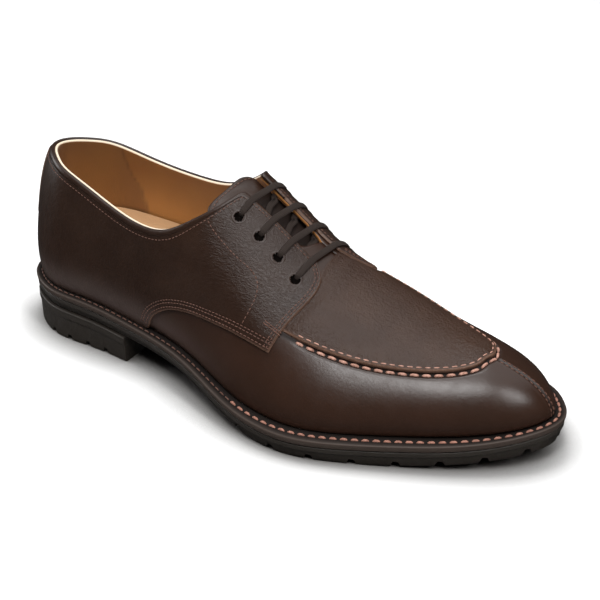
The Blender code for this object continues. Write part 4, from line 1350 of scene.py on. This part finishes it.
# Pitch, length and thickness of each kind of stitch
EDGE_STITCH = (2.2, 1.75, 0.5)
TOP_STITCH = (2.2, 1.7, 0.5)
EYESTAY_STITCH = (2.3, 1.8, 0.5)
TACK_STITCH = (1.1, 1.3, 0.6)
TONGUE_STITCH = (2.3, 1.8, 0.55)
SEAM_STITCH = (5.7, 4.5, 1.55)
PLUG_STITCH = (4.1, 3.1, 0.7)
TOE_STITCH = (2.6, 2.1, 0.6)
WELT_STITCH = (5.1, 4.0, 1.5)
HEEL_STITCH = (4.2, 3.2, 0.8)
# Where the welt's thick tan stitches give way to the thin brown ones of the waist and heel
TAN_FROM = 160.0


def make_stitches(tan_thread, welt_thread, brown_thread):
    """Every row of stitches, each a path moved aside from the edge that it follows."""
    face = PANEL_LIFT + PANEL
    fine = []
    for place, left in ((lateral_side, 1), (medial_side, -1)):
        edges = quarter_edges(place)
        for path, asides in (("arch", ARCH_ROWS), ("front", FRONT_ROWS)):
            for aside in asides:
                u, t = moved_aside(*edges[path], left * aside)
                fine.append(stitches_on(u, t, face + 0 * t + 0.02, *EDGE_STITCH))
        inset = np.interp(rib(edges["top"][0])[0], (112, 138), (4.6, 2.3))
        u, t = (softened(row, 25) for row in moved_aside(*edges["top"], -left * inset))
        fine.append(stitches_on(u, t, face + 0 * t + 0.03, *TOP_STITCH))
        u, t = eyestay_path(place)
        fine.append(stitches_on(u, t, face + 0 * t + 0.04, *EYESTAY_STITCH))
        u, t = tack_path(place)
        for aside in TACK_ROWS:
            fine.append(stitches_on(*moved_aside(u, t, aside), face + 0 * t + 0.05, *TACK_STITCH))
    add_stitches("quarter_stitches", fine, brown_thread)

    u = np.linspace(u_at(FRONT_GUESS + 2), ROUND - u_at(FRONT_MEDIAL["s"].max() + 2), 700)
    seam = through(APRON, u)
    outer, inner = moved_aside(u, seam, -1.2), moved_aside(u, seam, 2.0)
    chunky = [
        stitches_on(*outer, 0 * u - 0.25, *SEAM_STITCH),
        stitches_on(*inner, face + 0 * u - 0.1, *PLUG_STITCH),
    ]
    add_stitches("apron_stitches", chunky, tan_thread)
    t = np.linspace(0.02, 0.76, 120)
    seam_rows = []
    for aside in TOE_ROWS:
        line = TOE + aside / mm_per_u(np.full_like(t, TOE), t)
        seam_rows.append(stitches_on(line, t, vamp_relief(line, t) + 0.05, *TOE_STITCH))
    add_stitches("toe_seam_stitches", seam_rows, brown_thread)

    forefoot = np.linspace(u_at(TAN_FROM), ROUND - u_at(TAN_FROM), 900)
    around_heel = np.mod(np.linspace(-u_at(TAN_FROM), u_at(TAN_FROM), 600), ROUND)
    rows = []
    for u, stitch in ((forefoot, WELT_STITCH), (around_heel, HEEL_STITCH)):
        plan = outline(u, stitch_inset(u))
        path = np.column_stack([plan, welt_top(plan[:, 0]) - 0.1])
        rows.append(stitches_along(path, np.broadcast_to([0, 0, 1.0], path.shape), *stitch))
    add_stitches("welt_stitches", rows[:1], welt_thread)
    add_stitches("welt_heel_stitches", rows[1:], brown_thread)


# Finishes

def light(red, green, blue):
    """A screen colour from 0 to 255 as linear light."""
    shown = np.array([red, green, blue]) / 255
    linear = np.where(shown > 0.04045, ((shown + 0.055) / 1.055) ** 2.4, shown / 12.92)
    return tuple(float(c) for c in linear)


def add_node(tree, kind, inputs, **settings):
    """A node with its settings, and each input given as a value or as another node's socket."""
    made = tree.nodes.new(kind)
    for name, value in settings.items():
        setattr(made, name, value)
    for name, value in inputs.items():
        if isinstance(value, bpy.types.NodeSocket):
            tree.links.new(value, made.inputs[name])
        else:
            made.inputs[name].default_value = value
    return made


def new_finish(name, **sockets):
    """A material with constant sockets on its shader, and its Object coordinates in millimetres."""
    made = bpy.data.materials.new(name)
    made.use_nodes = True
    tree = made.node_tree
    shader = tree.nodes["Principled BSDF"]
    for label, value in sockets.items():
        shader.inputs[label.replace("_", " ")].default_value = value
    where = add_node(tree, "ShaderNodeTexCoord", {})
    inputs = {0: where.outputs["Object"], "Scale": 1000.0}
    millimetres = add_node(tree, "ShaderNodeVectorMath", inputs, operation="SCALE")
    return made, tree, shader, millimetres.outputs["Vector"]


def noise(tree, where, scale, detail=3.0, rough=0.5, distortion=0.0):
    inputs = {"Vector": where, "Scale": scale, "Detail": detail, "Roughness": rough}
    made = add_node(tree, "ShaderNodeTexNoise", {**inputs, "Distortion": distortion})
    return made.outputs["Factor" if "Factor" in made.outputs else "Fac"]


def mark(tree, label):
    return add_node(tree, "ShaderNodeAttribute", {}, attribute_name=label).outputs["Fac"]


def spread(tree, value, low, high, start=0.0, end=1.0):
    """Carries a value from one range to another, held at both ends."""
    inputs = {"Value": value, "From Min": start, "From Max": end, "To Min": low, "To Max": high}
    made = add_node(tree, "ShaderNodeMapRange", inputs)
    return made.outputs["Result"]


def mixed(tree, factor, first, second):
    made = add_node(tree, "ShaderNodeMix", {0: factor}, data_type="RGBA")
    for socket, value in ((made.inputs[6], first), (made.inputs[7], second)):
        if isinstance(value, bpy.types.NodeSocket):
            tree.links.new(value, socket)
        else:
            socket.default_value = (*value, 1.0)
    return made.outputs[2]


def math_of(tree, operation, first, second):
    return add_node(tree, "ShaderNodeMath", {0: first, 1: second}, operation=operation).outputs["Value"]


def bumped(tree, shader, height, distance, strength=1.0):
    made = add_node(tree, "ShaderNodeBump", {"Height": height, "Distance": distance, "Strength": strength})
    tree.links.new(made.outputs["Normal"], shader.inputs["Normal"])


# Wrinkles are drawn out across the shoe, towards the medial toe
STREAK_TURN = (0.0, 0.0, math.radians(-35))
STREAK_SCALE = (0.35, 1.0, 1.0)


def leather_finish(name, base, pale, edge, roughness, shine, grain, wrinkles):
    """Waxed leather: clouded colour, pale edges, painted shade where marked dark, a painted floor sheen low
    down, pebble grain, and wrinkles where marked.
    """
    base, pale, edge = light(*base), light(*pale), light(*edge)
    made, tree, shader, where = new_finish(name, Specular_IOR_Level=shine)
    cloud = noise(tree, where, 0.045, 4.0, 0.6)
    colour = mixed(tree, spread(tree, cloud, 0.0, 1.0, 0.35, 0.7), base, pale)
    # Painted reflection of the floor: a lighter colour where marked low
    colour = mixed(tree, spread(tree, mark(tree, "low"), 0.0, 0.5), colour, light(80, 69, 66))
    # Pale edges: a cut edge's colour, a painted highlight along the plug's rolled edge, and on the welt's
    # bevel a worn edge with a painted highlight
    colour = mixed(tree, spread(tree, mark(tree, "edge"), 0.0, 0.85), colour, edge)
    # Painted shade where marked dark: in the seam groove, along the toe seam, on the welt's top by the upper
    # and on the tongue inside the slot
    colour = mixed(tree, mark(tree, "dark"), colour, tuple(0.3 * c for c in base))
    tree.links.new(colour, shader.inputs["Base Color"])
    uneven = spread(tree, noise(tree, where, 0.2, 3.0), roughness, roughness + 0.05, 0.3, 0.7)
    dulled = math_of(tree, "MULTIPLY", mark(tree, "dark"), 0.4)
    tree.links.new(math_of(tree, "ADD", uneven, dulled), shader.inputs["Roughness"])
    height = math_of(tree, "MULTIPLY", noise(tree, where, 0.55, 4.0, 0.65), grain)
    inputs = {"Vector": where, "Rotation": STREAK_TURN, "Scale": STREAK_SCALE}
    streaked = add_node(tree, "ShaderNodeMapping", inputs)
    folds = noise(tree, streaked.outputs["Vector"], 1.0, 5.0, 0.6, 0.9)
    folds = math_of(tree, "MULTIPLY", math_of(tree, "MULTIPLY", folds, mark(tree, "wrinkled")), wrinkles)
    bumped(tree, shader, math_of(tree, "ADD", height, folds), 0.0003)
    return made


def lining_finish(name, base, pale):
    """Soft lining leather: even tan with faint clouds and a fine nap."""
    base, pale = light(*base), light(*pale)
    made, tree, shader, where = new_finish(name, Roughness=0.62, Sheen_Weight=0.15)
    colour = mixed(tree, noise(tree, where, 0.06, 4.0), base, pale)
    colour = mixed(tree, math_of(tree, "MULTIPLY", mark(tree, "grip"), 0.6), colour, light(124, 82, 36))
    colour = mixed(tree, math_of(tree, "MULTIPLY", mark(tree, "low"), 0.4), colour, light(206, 148, 76))
    colour = mixed(tree, mark(tree, "dark"), colour, tuple(0.25 * c for c in base))
    tree.links.new(colour, shader.inputs["Base Color"])
    bumped(tree, shader, noise(tree, where, 1.8, 3.0), 0.00012)
    return made


def thread_finish(name, base, pale):
    """Waxed thread: streaks of two shades and a fine twist."""
    base, pale = light(*base), light(*pale)
    made, tree, shader, where = new_finish(name, Roughness=0.6)
    streaks = spread(tree, noise(tree, where, 0.6, 2.0), 0.0, 1.0, 0.3, 0.7)
    tree.links.new(mixed(tree, streaks, base, pale), shader.inputs["Base Color"])
    bumped(tree, shader, noise(tree, where, 3.5, 2.0), 0.0002)
    return made


def lace_finish(name, base, pale):
    """Flat woven cotton: ribs along the lace crossed by fine picks."""
    base, pale = light(*base), light(*pale)
    made, tree, shader, where = new_finish(name, Roughness=0.8, Specular_IOR_Level=0.25)
    ribs = math_of(tree, "SINE", math_of(tree, "MULTIPLY", mark(tree, "across"), 9.0), 0.0)
    picks = math_of(tree, "SINE", math_of(tree, "MULTIPLY", mark(tree, "along"), 7.0), 0.0)
    weave = math_of(tree, "MULTIPLY", ribs, picks)
    weave = math_of(tree, "ADD", weave, math_of(tree, "MULTIPLY", ribs, 0.8))
    colour = mixed(tree, spread(tree, weave, 0.0, 1.0, -1.5, 1.5), base, pale)
    tree.links.new(colour, shader.inputs["Base Color"])
    bumped(tree, shader, weave, 0.00012)
    return made


def rubber_finish(name, base, pale):
    """Moulded rubber: near black and matte with a faint bloom."""
    base, pale = light(*base), light(*pale)
    made, tree, shader, where = new_finish(name, Specular_IOR_Level=0.4)
    colour = mixed(tree, noise(tree, where, 0.08, 5.0, 0.6), base, pale)
    tree.links.new(colour, shader.inputs["Base Color"])
    uneven = spread(tree, noise(tree, where, 0.3, 3.0), 0.5, 0.7, 0.3, 0.7)
    tree.links.new(uneven, shader.inputs["Roughness"])
    bumped(tree, shader, noise(tree, where, 1.5, 4.0), 0.0001)
    return made


# Stage

# The floor's colour close under the shoe and in the open, and how far the shoe's shade reaches
FLOOR_SHADED = (0.07, 0.062, 0.055)
FLOOR_OPEN = (0.88, 0.88, 0.88)
SHADE_REACH = 0.026


def add_floor():
    """A plain pale floor, darker close to the shoe, that the leather doesn't mirror."""
    made, tree, shader, _ = new_finish("floor_paper", Roughness=0.8, Specular_IOR_Level=0.1)
    near = add_node(tree, "ShaderNodeAmbientOcclusion", {"Distance": SHADE_REACH}, samples=8)
    open_sky = math_of(tree, "POWER", near.outputs["AO"], 1.9)
    tree.links.new(mixed(tree, open_sky, FLOOR_SHADED, FLOOR_OPEN), shader.inputs["Base Color"])
    mesh = bpy.data.meshes.new("floor")
    mesh.from_pydata([(-3, -3, 0), (3, -3, 0), (3, 3, 0), (-3, 3, 0)], [], [(0, 1, 2, 3)])
    mesh.materials.append(made)
    floor = bpy.data.objects.new("floor", mesh)
    bpy.context.scene.collection.objects.link(floor)
    floor.visible_glossy = False


def add_softbox(name, place, aim, size, power):
    """A square light that faces its aim."""
    lamp = bpy.data.lights.new(name, "AREA")
    lamp.shape = "RECTANGLE"
    lamp.size, lamp.size_y = size
    lamp.energy = power
    made = bpy.data.objects.new(name, lamp)
    made.location = place
    made.rotation_euler = (Vector(aim) - Vector(place)).to_track_quat("-Z", "Y").to_euler()
    bpy.context.scene.collection.objects.link(made)
    return made


def add_world(strength):
    world = bpy.data.worlds.new("studio")
    world.use_nodes = True
    world.node_tree.nodes["Background"].inputs["Color"].default_value = (1, 1, 1, 1)
    world.node_tree.nodes["Background"].inputs["Strength"].default_value = strength
    bpy.context.scene.world = world


# Place of the camera, in millimetres along the shoe, and its right, up and forward directions
CAMERA_PLACE = (461.155, -514.263, 364.700)
CAMERA_RIGHT = (0.86771678, 0.49704733, 0.00339605)
CAMERA_UP = (-0.23848677, 0.41032260, 0.88020419)
CAMERA_FORWARD = (-0.43610967, 0.76457787, -0.47458302)
CAMERA_LENS = 78.87


def add_camera():
    made = bpy.data.cameras.new("camera")
    made.sensor_fit = "HORIZONTAL"
    made.sensor_width = 36.0
    made.lens = CAMERA_LENS
    made.clip_start = 0.01
    camera = bpy.data.objects.new("camera", made)
    turn = Matrix([CAMERA_RIGHT, CAMERA_UP, [-c for c in CAMERA_FORWARD]]).transposed().to_4x4()
    camera.matrix_world = Matrix.Translation(placed(np.array(CAMERA_PLACE))) @ turn
    bpy.context.scene.collection.objects.link(camera)
    bpy.context.scene.camera = camera


WORLD_LIGHT = 0.03
# Softboxes: place, aim and size in metres, and power in watts
SOFTBOXES = {
    "overhead": ((-0.3, 0.45, 1.8), (-0.27, 0.42, 0), (3.2, 2.3), 38),
    "top": ((-0.05, 0.12, 1.3), (0, 0, 0.05), (0.25, 0.25), 4),
    "key": ((0.3, -0.7, 1.32), (0.05, 0, 0.05), (0.3, 0.45), 12),
    "heel": ((-1.0, -0.15, 0.32), (-0.12, 0, 0.06), (0.5, 0.5), 4),
    "toe": ((1.0, -0.42, 1.1), (0.12, 0, 0.05), (0.3, 0.6), 10),
}


def add_studio():
    bpy.context.scene.view_settings.view_transform = "Standard"
    add_floor()
    add_world(WORLD_LIGHT)
    for name, box in SOFTBOXES.items():
        add_softbox(name, *box)
    add_camera()


# The shoe

# Screen colours of each leather (its base, a paler cloud and a cut edge; on the plug that edge colour is a
# painted highlight, and on the welt a worn edge with a painted highlight), then its roughness, shine, grain
# and wrinkles
RUST = (104, 78, 64)
LEATHERS = {
    "vamp_leather": ((42, 26, 18), (46, 29, 21), RUST, 0.29, 0.34, 0.2, 0.0),
    "quarter_leather": ((36, 22, 15), (43, 28, 20), RUST, 0.31, 0.3, 0.5, 1.6),
    "apron_leather": ((48, 32, 24), (58, 41, 32), RUST, 0.29, 0.21, 2.2, 0.9),
    "tongue_leather": ((40, 27, 21), (48, 34, 27), RUST, 0.34, 0.2, 0.6, 0.0),
    # painted shade for the cups of the lace holes
    "hole_shade": ((10, 8, 7), (12, 9, 8), RUST, 0.8, 0.0, 0.0, 0.0),
    "welt_leather": ((36, 28, 24), (44, 35, 31), (70, 60, 54), 0.45, 0.16, 0.4, 0.0),
}
# Base and pale colour of each lining and thread
LININGS = {
    "lining_leather": ((134, 81, 20), (150, 96, 31)),
    "bead_leather": ((222, 204, 178), (232, 216, 194)),
    "sock_leather": ((196, 156, 114), (206, 170, 130)),
}
THREADS = {
    "tan_thread": ((146, 104, 88), (196, 150, 132)),
    "welt_thread": ((126, 84, 70), (168, 118, 100)),
    "brown_thread": ((80, 50, 38), (100, 66, 52)),
}


def make_shoe():
    vamp, quarter, plug, tongue, shade, welt = (leather_finish(name, *row) for name, row in LEATHERS.items())
    lining, cream, sock = (lining_finish(name, *row) for name, row in LININGS.items())
    tan_thread, welt_thread, brown_thread = (thread_finish(name, *row) for name, row in THREADS.items())
    lace = lace_finish("lace_cloth", (34, 26, 22), (52, 42, 37))
    rubber = rubber_finish("sole_rubber", (36, 31, 26), (45, 39, 33))

    make_upper(vamp, lining)
    make_quarter("quarter_lateral", lateral_side, quarter)
    make_quarter("quarter_medial", medial_side, quarter)
    make_apron(plug)
    make_tongue(tongue, brown_thread)
    make_collar(quarter, cream)
    make_back_strip(quarter)
    make_holes(quarter, shade)
    make_laces(lace)
    make_stitches(tan_thread, welt_thread, brown_thread)
    make_welt(welt)
    make_insole(sock)
    make_outsole(rubber)
    make_heel(rubber)


def corners(bounds):
    return [[float(c) for c in corner] for corner in bounds]


def main():
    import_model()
    make_shoe()
    add_studio()


main()
